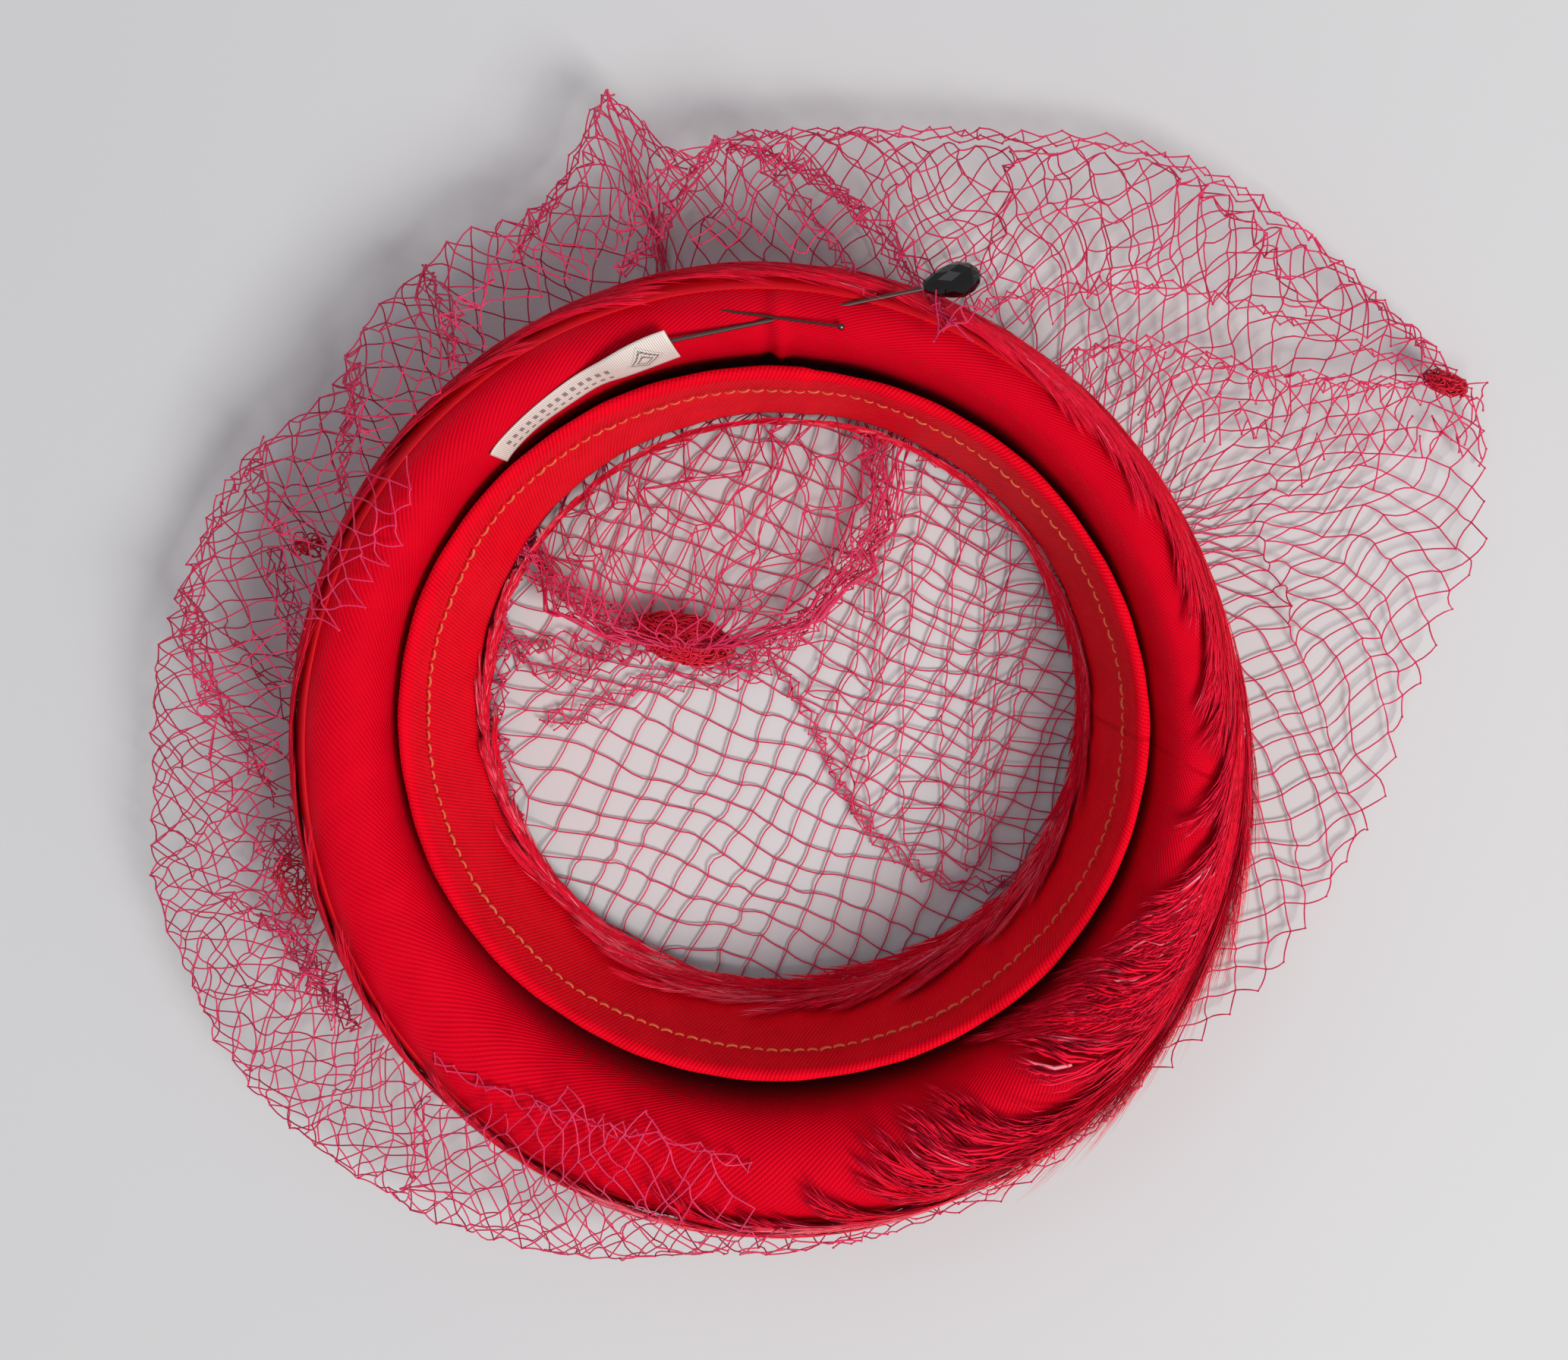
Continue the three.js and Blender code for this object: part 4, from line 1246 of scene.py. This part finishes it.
over_rows = knit_inwards(edge_row, OVER_ROWS, 0.35, turned_slope)


def polar(flat):
    """Degrees, from 0 to 360, and radius."""
    return np.degrees(np.arctan2(flat[:, 1], flat[:, 0])) % 360, np.hypot(flat[:, 0], flat[:, 1])


def round_radius(flat):
    """The radius that a place would have on the round brim, before it is drawn out."""
    x, y = flat[:, 0], flat[:, 1]
    for _ in range(6):
        share = drawn_share(x, y)
        x = (flat[:, 0] - share * BRIM_DRAW["shift"][0]) / (1 + share * BRIM_DRAW["stretch"][0])
        y = (flat[:, 1] - share * BRIM_DRAW["shift"][1]) / (1 + share * BRIM_DRAW["stretch"][1])
    return np.hypot(x, y)


# The under layer lies on the table and goes in under the ring
under = under_rows.reshape(-1, 2)
under_depth = np.repeat(np.arange(len(under_rows)), PER_ROW)
free = np.clip(under_depth / 2, 0, 1)[:, None]
under = under + wander(under, 3, 2.6, 46) * free + rng.normal(0, 0.28, under.shape)
degrees, radius = polar(under)
outness = np.clip((radius - 101) / (edge_radius(degrees) - 101), 0, 1)
hollow = wander(under, 8, 2.5, 60)[:, 0]
under_height = (0.75 + between_angles(degrees, EDGE_HEIGHT) * outness ** 2.2
                + np.maximum(hollow, 0) * (np.clip((radius - 112) / 12, 0, 1) * (1 - outness)))
under_knots = np.column_stack([under, under_height])

# The turned-back layer rises from the same edge and lies on the rim
over = over_rows.reshape(-1, 2)
over_depth = np.repeat(np.arange(len(over_rows)), PER_ROW)
free = np.clip(over_depth / 2, 0, 1)[:, None]
over = over + wander(over, 17, 3.4, 38) * free + rng.normal(0, 0.3, over.shape)
degrees, true_radius = polar(over)
radius = round_radius(over)
rim_reach = 110 + true_radius - radius
inness = np.clip((edge_radius(degrees) - true_radius) / (edge_radius(degrees) - rim_reach), 0, 1)
start_height = between_angles(degrees, EDGE_HEIGHT)
top_height = np.interp(radius, RIM_TOP[:, 0], RIM_TOP[:, 1])
climb_height = start_height + (44 - start_height) * (1 - (1 - inness) ** 1.7)
billow = wander(over, 5, 2.2, 30)[:, 1] * np.clip((radius - 112) / 15, 0, 1)
over_height = np.where(radius > 110.5, climb_height, np.maximum(top_height, 40)) + billow
over_knots = np.column_stack([over, over_height])
end_radius = between_angles(degrees, TURNED_END) + 1.5 * np.sin(np.radians(degrees) * 37)
over_kept = (radius > end_radius) | (over_depth == 0)
over_kept &= ~((degrees > 304) | (degrees < 27)) | (over_depth == 0)

# Folds of the turned-back layer: from, to, width, depth, lift and bend, in millimetres
OVER_FOLDS = [((-14, 136), (-33, 112), 3.5, 7, 5, -3), ((-11, 137), (18, 122), 3.2, 7, 5, 3),
              ((18, 122), (40, 97), 3.2, 7, 4, 2), ((-40, 150), (-45, 128), 2.6, 4, 4, 1),
              ((-54, 122), (-74, 94), 4, 7, 5, 2), ((-86, 108), (-78, 92), 3, 5, 4, 0),
              ((-100, 92), (-92, 70), 4, 7, 4, -2), ((-132, 67), (-112, 46), 4, 6, 4, 0),
              ((-144, 30), (-133, -6), 4, 7, 5, 5), ((-133, -6), (-116, -28), 3.5, 6, 4, -3),
              ((-128, -66), (-104, -58), 4, 7, 4, 2), ((-134, -40), (-112, -50), 3, 6, 4, 0),
              ((-92, -118), (-84, -84), 4, 6, 3, -4), ((52, 140), (50, 110), 3, 5, 4, 2),
              ((92, 128), (120, 100), 3.5, 6, 4, 4)]
UNDER_FOLDS = [((-11, 137), (-20, 116), 3.5, 5, 3, 2), ((118, 62), (126, 20), 4, 5, 3, -4),
               ((-140, 20), (-122, -10), 4, 6, 3, 3), ((-118, 92), (-100, 74), 3, 5, 3, 0)]
for fold in OVER_FOLDS:
    over_knots = pleat(over_knots, *fold)
for fold in UNDER_FOLDS:
    under_knots = pleat(under_knots, *fold)


def over_the_pin(knots, clear=1.9, wide=4.5):
    """Lifts the net where it lies in the straight pin's way as that is drawn out."""
    joint = next(j for j in frame["joints"] if j["child"] == "straight_pin")
    axis = np.array(joint["axis"]) / np.linalg.norm(joint["axis"])
    head = middle("straight_pin_head") - RING
    along = np.clip((knots - head) @ axis, 0, joint["range_m"][1] / MM)
    nearest = head + along[:, None] * axis
    near = np.hypot(*(knots - nearest)[:, :2].T) < wide
    knots[near, 2] = np.maximum(knots[near, 2], nearest[near, 2] + clear)


over_the_pin(over_knots)
veil_knots = np.vstack([under_knots, over_knots[PER_ROW:]])
veil_knots[:PER_ROW, 2] = over_knots[:PER_ROW, 2]
under_edges = row_edges(len(under_rows), PER_ROW)
over_edges = row_edges(len(over_rows), PER_ROW)
over_start = len(under_knots) - PER_ROW
over_edges = np.where(over_edges < PER_ROW, over_edges, over_edges + over_start)
# The under layer ends beneath the crown, and a thread that the folds pulled too long is left out
veil_kept = np.concatenate([np.hypot(*under_knots[:, :2].T) > 85, over_kept[PER_ROW:]])
veil_edges = np.vstack([under_edges, over_edges])
veil_edges = veil_edges[veil_kept[veil_edges].all(axis=1)]
thread_run = np.linalg.norm(veil_knots[veil_edges[:, 0]] - veil_knots[veil_edges[:, 1]], axis=1)
veil_edges = veil_edges[thread_run < 2.2 * CELL]
veil_knots[:, 2] = np.maximum(veil_knots[:, 2], 0.7)
veil_knots += RING

middles = (veil_knots[veil_edges[:, 0]] + veil_knots[veil_edges[:, 1]]) / 2 - RING
sector = (polar(middles)[0] // (360 / VEIL_PANELS)).astype(int)
panels, panel_cells = [], []
for number in range(VEIL_PANELS):
    knots, edges = used_only(veil_knots, veil_edges[sector == number])
    panel = net_piece(f"veil_net_{number + 1:02d}", knots, edges, rng)
    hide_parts(f"veil_panel_{number + 1:02d}")
    panels.append(panel)
    panel_cells.append(edges)

# ---- Crown net ----
# The veil's middle, drawn flat across the open crown. A second loose layer lies over its right half,
# and a bag of spare net is puffed up at the back and tied off in a tight wad.

CROWN_REACH = 84.5


def straight_net(directions, cell, origin, reach):
    """A flat net whose threads run in two given directions."""
    a, b = (np.array([math.cos(math.radians(d)), math.sin(math.radians(d))]) * cell for d in directions)
    count = int(reach / cell * 1.6)
    i, j = np.meshgrid(np.arange(-count, count + 1), np.arange(-count, count + 1), indexing="ij")
    knots = np.array(origin) + i.reshape(-1, 1) * a + j.reshape(-1, 1) * b
    wide = 2 * count + 1
    index = np.arange(wide * wide).reshape(wide, wide)
    edges = np.concatenate([np.stack([index[:-1].ravel(), index[1:].ravel()], 1),
                            np.stack([index[:, :-1].ravel(), index[:, 1:].ravel()], 1)])
    return knots, edges


def kept_where(knots, edges, keep):
    """The part of a net whose knots are all kept."""
    return used_only(knots, edges[keep[edges].all(axis=1)])


crown_flat, crown_edges = straight_net((-20, 63), 6.4, (2, -3), 110)
crown_flat = crown_flat + wander(crown_flat, 41, 2.4, 75) + rng.normal(0, 0.2, crown_flat.shape)
crown_knots = np.column_stack([crown_flat, np.full(len(crown_flat), 0.8)])
CROWN_FOLDS = [((-76, 40), (-66, -52), 4, 9, 3, -6), ((-68, 30), (-60, -40), 3.5, 6, 3, -6),
               ((-36, -62), (-20, -74), 4, 6, 3, 0), ((60, -44), (70, -20), 4, 5, 2, -3),
               ((56, 60), (72, 30), 4, 6, 3, 3)]
for fold in CROWN_FOLDS:
    crown_knots = pleat(crown_knots, *fold)
reach = np.hypot(crown_knots[:, 0], crown_knots[:, 1])
crown_knots, crown_edges = kept_where(crown_knots, crown_edges, reach < CROWN_REACH)
crown_net = net_piece("crown_net_lower", crown_knots + RING, crown_edges, rng)
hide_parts("crown_net")

second_flat, second_edges = straight_net((3, 88), 6.0, (40, 0), 110)
second_flat = second_flat + wander(second_flat, 52, 6.0, 45) + rng.normal(0, 0.3, second_flat.shape)
second_knots = np.column_stack([second_flat, np.full(len(second_flat), 1.7)])
# Its free edge runs down from the wad, in loops, and then out to the right
EDGE_LINE = [(-14, 12), (4, 8), (10, -8), (22, -30), (34, -42), (60, -42), (86, -40)]
line_x, line_y = np.array(EDGE_LINE, float).T
beyond = second_knots[:, 1] > np.interp(second_knots[:, 0], line_x, line_y) + 1.5 * np.sin(
    second_knots[:, 0] * 0.8)
beyond &= second_knots[:, 0] > np.interp(second_knots[:, 1], [-45, -30, -8, 10, 40, 90],
                                         [34, 22, 10, -6, 12, 30])
second_knots = pleat(second_knots, (6, 8), (22, -32), 4, 8, 2, 3)
second_knots = pleat(second_knots, (66, 50), (74, 0), 4, 7, 2, 4)
reach = np.hypot(second_knots[:, 0], second_knots[:, 1])
second_knots, second_edges = kept_where(second_knots, second_edges, beyond & (reach < 82))
second_net = net_piece("crown_net_upper", second_knots + RING, second_edges, rng)

# The bag: rows of cells round an axis from the wad to the crown's edge, drawn together at the wad
WAD = np.array([-24.0, 18.5])
BAG_MIDDLE = np.array([-17.0, 52.0])
BAG_HALF = np.array([46.0, 35.0])
BAG_AROUND = 34
BAG_ROWS = 15
row_share = (np.arange(BAG_ROWS) + 0.4) / (BAG_ROWS + 1)
bag = []
for n, share in enumerate(row_share):
    latitude = math.pi * share
    turn = 2 * np.pi * (np.arange(BAG_AROUND) + 0.5 * (n % 2)) / BAG_AROUND
    bag.append(np.stack([np.sin(latitude) ** 0.8 * np.cos(turn),
                         -np.full(BAG_AROUND, math.cos(latitude)),
                         np.sin(latitude) ** 0.8 * np.sin(turn)], axis=1))
bag = np.concatenate(bag)
lean = (WAD[0] - BAG_MIDDLE[0]) * np.clip(-bag[:, 1], 0, 1) ** 2 + 14 * np.clip(bag[:, 1], 0, 1)
bag_flat = BAG_MIDDLE + bag[:, :2] * BAG_HALF + np.stack([lean, np.zeros(len(bag))], axis=1)
bag_flat += wander(bag_flat, 61, 4.5, 30) * np.sin(np.pi * np.repeat(row_share, BAG_AROUND))[:, None]
bag_flat += rng.normal(0, 0.35, bag_flat.shape)
low_end = np.clip((74 - np.hypot(*bag_flat.T)) / 14, 0, 1)
bag_height = 1.4 + (10 + 9.5 * bag[:, 2]) * (0.12 + 0.88 * low_end)
bag_knots = np.column_stack([bag_flat, bag_height])
# Over an even row the next row's knots lie half a cell on, and over an odd one half a cell back
i, j = np.meshgrid(np.arange(BAG_AROUND), np.arange(BAG_ROWS - 1), indexing="xy")
other = np.where(j % 2 == 0, (i - 1) % BAG_AROUND, (i + 1) % BAG_AROUND)
bag_edges = np.concatenate([
    np.stack([(j * BAG_AROUND + i).ravel(), ((j + 1) * BAG_AROUND + i).ravel()], 1),
    np.stack([(j * BAG_AROUND + i).ravel(), ((j + 1) * BAG_AROUND + other).ravel()], 1)])
bag_knots, bag_edges = kept_where(bag_knots, bag_edges, np.hypot(*bag_knots[:, :2].T) < 81)


LOOP_POINTS = 26


def tangle(name, centre, half_size, threads, seed, thread=THREAD, wild=1.0, direction=0.0):
    """A wad of thread: loops of it, pulled into a flattened lump. wild fills its outside more."""
    chance = np.random.default_rng(seed)
    c, s = math.cos(math.radians(direction)), math.sin(math.radians(direction))
    t = np.linspace(0, 2 * np.pi, LOOP_POINTS, endpoint=False)[:, None]
    here = np.arange(LOOP_POINTS)
    loop = np.stack([here, (here + 1) % LOOP_POINTS], 1)
    knots, edges = [], []
    for n in range(threads):
        path = sum(chance.normal(0, 1 / k, 3) * np.sin(k * t)
                   + chance.normal(0, 1 / k, 3) * np.cos(k * t) for k in (1, 2, 3))
        reach = np.linalg.norm(path, axis=1, keepdims=True)
        path = path / reach * np.tanh(reach * 0.5 * wild) * half_size
        path[:, :2] = path[:, :2] @ np.array([[c, s], [-s, c]])
        knots.append(path + centre)
        edges.append(loop + n * LOOP_POINTS)
    knots = np.concatenate(knots)
    knots[:, 2] = np.maximum(knots[:, 2], THREAD)
    return net_piece(name, knots + RING, np.concatenate(edges), chance, thread=thread, bow=0.1,
                     has_knots=False, material=wad_material)


def crinkled(chance, path, strands, spread, pitch=3.4, crimp=0.9, links=0.4):
    """The threads of a gathered fold, side by side along a line, kinked and knotted to each other."""
    length = smooth_line(path, 2)[1]
    count = max(int(length / pitch), 3)
    line = smooth_line(path, count)[0]
    along = np.gradient(line[:, :2], axis=0)
    along /= np.linalg.norm(along, axis=1, keepdims=True)
    side = np.stack([-along[:, 1], along[:, 0]], axis=1)
    t = np.linspace(0, 1, count)
    taper = 0.45 + 0.55 * np.sin(np.pi * np.clip(t, 0.02, 0.98)) ** 0.5
    knots, edges = [], []
    for n in range(strands):
        place = spread * (2 * (n + 0.5) / strands - 1) + spread * 0.3 * np.sin(
            t * chance.uniform(4, 14) + chance.uniform(0, 6))
        kink = crimp * np.where(np.arange(count) % 2 == n % 2, 1, -1) * chance.uniform(0.4, 1.5, count)
        points = line.copy()
        points[:, :2] += side * (place * taper + kink)[:, None]
        points[:, :2] += along * chance.normal(0, pitch * 0.22, count)[:, None]
        points[:, 2] += chance.normal(0, 0.25 + 0.12 * spread, count)
        edges += [(n * count + k, n * count + k + 1) for k in range(count - 1)]
        if n:
            edges += [(n * count + k, (n - 1) * count + k) for k in range(count)
                      if chance.random() < links]
        knots.append(points)
    knots = np.concatenate(knots)
    knots[:, 2] = np.maximum(knots[:, 2], THREAD)
    return knots, np.array(edges)


def gathers(name, seed, folds, thread=THREAD):
    """One piece from several crinkled folds."""
    chance = np.random.default_rng(seed)
    knots, edges, drop = [], [], 0
    for fold in folds:
        points, joins = crinkled(chance, *fold)
        knots.append(points)
        edges.append(joins + drop)
        drop += len(points)
    return net_piece(name, np.concatenate(knots) + RING, np.concatenate(edges), chance, thread=thread,
                     bow=0.25)


# Path, strands, half-width, pitch, crimp and share of links: the strip at the crown's left edge, the
# folds that run into the wad, the bag's two rims, and the loops of the upper layer's edge
CROWN_GATHERS = [
    ([(-62, 44, 5), (-70, 28, 3), (-74, 8, 2.5), (-74, -14, 2), (-68, -36, 2), (-60, -50, 2)], 9, 4.2,
     3.0, 1.1, 0.5),
    ([(-72, 20, 2), (-60, 12, 2), (-44, 14, 3), (-30, 17, 5)], 9, 5.0, 3.2, 1.2, 0.5),
    ([(-66, 42, 6), (-54, 30, 7), (-40, 22, 7), (-27, 19, 7)], 12, 3.2, 3.0, 0.9, 0.4),
    ([(-30, 17, 5), (-14, 12, 4), (2, 19, 6), (14, 32, 8), (24, 50, 9), (20, 68, 6)], 9, 3.0, 3.2, 0.9,
     0.4),
    ([(-58, -4, 1.5), (-40, 4, 1.5), (-20, 8, 2), (-4, 10, 2)], 5, 4.0, 4.0, 1.3, 0.3),
    ([(-2, 12, 1.5), (8, -4, 2), (14, -18, 2), (24, -32, 2), (36, -41, 2), (50, -43, 2),
      (66, -40, 2)], 3, 1.3, 3.6, 1.3, 0.6),
    ([(34, 64, 3), (52, 58, 3), (66, 44, 3), (72, 24, 3)], 5, 2.5, 3.8, 1.2, 0.4),
]
wad = tangle("crown_wad", (*WAD, 7.5), (13.5, 6.6, 5.0), 200, 71, thread=0.46, direction=-14)
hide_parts("centre_knot")
crown_gathers = gathers("crown_gathers", 72, CROWN_GATHERS)
bag_net = net_piece("crown_net_bag", bag_knots + RING, bag_edges, rng)

# ---- Ties, drawn folds and loose ends of the net ----
# Where the net is gathered it is bound with its own thread: a wad with tails at the right-hand corner,
# and small crumpled gathers at the left. Its free edges and deep folds show as doubled, kinked threads.

right_tie = tangle("right_tie", (156.5, 81, 11), (6.2, 3.2, 3.4), 34, 81, thread=0.34, direction=-20)
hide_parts("veil_tie_right")
upper_tie = tangle("upper_left_tie", (-110, 43, 32), (5, 4, 4), 6, 82, wild=1.2)
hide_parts("veil_tie_upper_left")
lower_tie = tangle("lower_left_tie", (-118, -42, 22), (6, 9, 6), 7, 83, wild=1.3, direction=20)
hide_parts("veil_tie_lower_left")

# As CROWN_GATHERS
VEIL_GATHERS = [
    # The deep fold from the back edge to the bead, and the one beside it
    ([(-12, 136, 16), (4, 131, 20), (18, 122, 27), (30, 108, 38), (40, 95, 50)], 6, 1.6, 4.2, 1.0, 0.4),
    ([(-14, 137, 16), (-22, 126, 20), (-26, 116, 28), (-34, 107, 40)], 6, 2.0, 4.2, 1.0, 0.4),
    ([(-5, 134, 16), (14, 112, 34), (22, 101, 48)], 3, 1.6, 4.6, 1.0, 0.5),
    # The peak's two sides
    ([(-40.5, 148, 15), (-46, 138, 15), (-52, 126, 16), (-60, 112, 26)], 3, 0.8, 4.4, 0.8, 0.4),
    ([(-40, 148, 15), (-33, 139, 15), (-26, 131, 16), (-22, 132, 16)], 2, 0.6, 4.4, 0.8, 0.4),
    # The turned-back layer's free edge, from the bead to the tie at the right
    ([(40, 95, 52), (52, 100, 44), (72, 103, 31), (92, 103, 24), (112, 98, 18), (134, 90, 14),
      (156, 82, 11)], 2, 0.7, 4.4, 1.3, 0.4),
    # The back's upper edge, doubled
    ([(-10, 138, 16), (20, 139, 16), (50, 138, 15), (86, 134, 14), (118, 118, 13), (146, 94, 12),
      (158, 82, 11)], 3, 1.4, 4.6, 1.0, 0.4),
    # The arch of cut net in front of it
    ([(62, 83, 30), (70, 88, 26), (80, 90, 22), (96, 88, 18), (116, 83, 16), (138, 81, 14),
      (157, 81, 11)], 3, 1.5, 4.4, 1.1, 0.5),
    # Folds at the left
    ([(-125, 66, 15), (-138, 47, 15), (-145, 26, 15), (-140, 6, 14), (-134, -8, 12), (-126, -22, 12)], 4,
     2.2, 4.4, 1.1, 0.4),
    ([(-102, 84, 16), (-102, 71, 24), (-100, 56, 40)], 4, 2.0, 4.4, 1.1, 0.4),
    ([(-84, 107, 16), (-80, 101, 24), (-74, 94, 38), (-70, 86, 50)], 4, 2.2, 4.4, 1.1, 0.4),
    ([(-124, 40, 14), (-118, 20, 18), (-114, 0, 24), (-116, -20, 22), (-122, -38, 16)], 5, 3.4, 4.6, 1.3,
     0.4),
    ([(-132, -52, 10), (-122, -58, 14), (-112, -66, 24), (-100, -72, 40)], 5, 3.0, 4.2, 1.3, 0.4),
    ([(-126, -28, 14), (-124, -44, 14), (-120, -60, 14), (-110, -76, 18)], 6, 4.5, 4.0, 1.5, 0.45),
    # The free edge on the ring at the lower left, and the edge at the lower right
    ([(-78, -76, 52), (-60, -84, 53), (-40, -90, 54), (-20, -94, 54), (-4, -100, 52)], 2, 0.8, 4.4, 1.2,
     0.5),
    ([(20, -128, 8), (44, -125, 8), (62, -116, 7), (80, -102, 6), (91, -89, 5)], 3, 1.8, 4.6, 1.0, 0.4),
]
veil_gathers = gathers("veil_gathers", 91, VEIL_GATHERS)


CUT_ARCH = [(62, 83, 30), (70, 88, 26), (80, 90, 22), (96, 88, 18), (116, 83, 16), (138, 81, 14),
            (157, 81, 11), (164, 78, 9)]


def cut_ends(seed):
    """Rows of net that hang from the arch and the right-hand tie, and end where they were cut."""
    chance = np.random.default_rng(seed)
    arch = smooth_line(CUT_ARCH, 27)[0]
    rows = 5
    knots = np.concatenate([arch + (1.8 * (n % 2) + 0.6 * n, -4.1 * n, -1.8 * n)
                            + chance.normal(0, 0.5, arch.shape) for n in range(rows)])
    across = len(arch)
    edges = []
    for n in range(rows - 1):
        for k in range(across):
            for m in (k, k + 1 if n % 2 else k - 1):
                if 0 <= m < across and chance.random() > 0.12 + 0.16 * n:
                    edges.append((n * across + k, (n + 1) * across + m))
    for k in range(across):
        if chance.random() < 0.7:
            top = 2 + int(chance.random() * 3)
            end = knots[top * across + k] + (chance.normal(1, 2), -chance.uniform(4, 9), -1)
            knots = np.vstack([knots, end])
            edges.append((top * across + k, len(knots) - 1))
    knots[:, 2] = np.maximum(knots[:, 2], 1.0)
    kept, joins = used_only(knots, np.array(edges))
    return net_piece("veil_cut_ends", kept + RING, joins, chance)


loose_ends = cut_ends(95)
tails = gathers("right_tie_tails", 96, [
    ([(158, 80, 11), (163, 78, 8), (165, 71, 5)], 2, 1.2, 3.4, 0.5, 0.0),
    ([(158, 80, 11), (165, 82, 9), (166, 77, 6), (163, 69, 3)], 1, 1.0, 3.4, 0.5, 0.0)])

# ---- Hidden and plain parts ----
# The buckram shell, the band's core and the two wires keep their shapes and get their own finishes.


def buckram():
    """Dyed cotton gauze: an open square weave, stiff and slightly glossy with size."""
    material, tree, out = new_material("sized_buckram")
    place = add_node(tree, "ShaderNodeTexCoord")
    warp = add_node(tree, "ShaderNodeTexWave", {
        "Vector": place.outputs["Object"], "Scale": math.pi / 10 / (1.1 * MM)})
    weft = add_node(tree, "ShaderNodeTexWave", {
        "Vector": place.outputs["Object"], "Scale": math.pi / 10 / (1.1 * MM)}, bands_direction="Z")
    weave = add_node(tree, "ShaderNodeMath", {
        0: warp.outputs["Fac"], 1: weft.outputs["Fac"]}, operation="MULTIPLY")
    # Its very dark reds are dye and also painted shade: they keep the floor of the gap between lining and
    # band dark.
    tint = add_node(tree, "ShaderNodeMix", {
        "Factor": weave.outputs["Value"], "A": linear("#33060a"),
        "B": linear("#6b0f18")}, data_type="RGBA")
    raised = add_node(tree, "ShaderNodeBump", {
        "Height": weave.outputs["Value"], "Strength": 0.5, "Distance": 0.2 * MM})
    shader = add_node(tree, "ShaderNodeBsdfPrincipled", {
        "Base Color": tint.outputs["Result"], "Roughness": 0.55, "Normal": raised.outputs["Normal"]})
    tree.links.new(shader.outputs["BSDF"], out.inputs["Surface"])
    return material


def polished_steel(name, hex_colour, roughness):
    """Drawn steel wire: bright, with faint lines from drawing."""
    material, tree, out = new_material(name)
    place = add_node(tree, "ShaderNodeTexCoord")
    die_lines = add_node(tree, "ShaderNodeTexNoise", {"Vector": place.outputs["Object"], "Scale": 900.0})
    rough = add_node(tree, "ShaderNodeMapRange", {
        "Value": die_lines.outputs["Fac"], "To Min": roughness, "To Max": roughness + 0.15})
    shader = add_node(tree, "ShaderNodeBsdfPrincipled", {
        "Base Color": linear(hex_colour), "Metallic": 1.0, "Roughness": rough.outputs["Result"]})
    tree.links.new(shader.outputs["BSDF"], out.inputs["Surface"])
    return material


def finish_node(node, material):
    """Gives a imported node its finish."""
    frame["nodes"][node].data.materials.clear()
    frame["nodes"][node].data.materials.append(material)


gauze = buckram()
millinery_wire = polished_steel("millinery_wire", "#8d8f94", 0.4)
pin_steel = polished_steel("pin_steel", "#5c4a48", 0.3)
for node in ("hat_pin_shaft", "straight_pin_shaft", "straight_pin_head"):
    finish_node(node, pin_steel)
for node in ("buckram_shell", "bandeau_core"):
    finish_node(node, gauze)
for node in ("rim_wire", "crown_wire"):
    finish_node(node, millinery_wire)
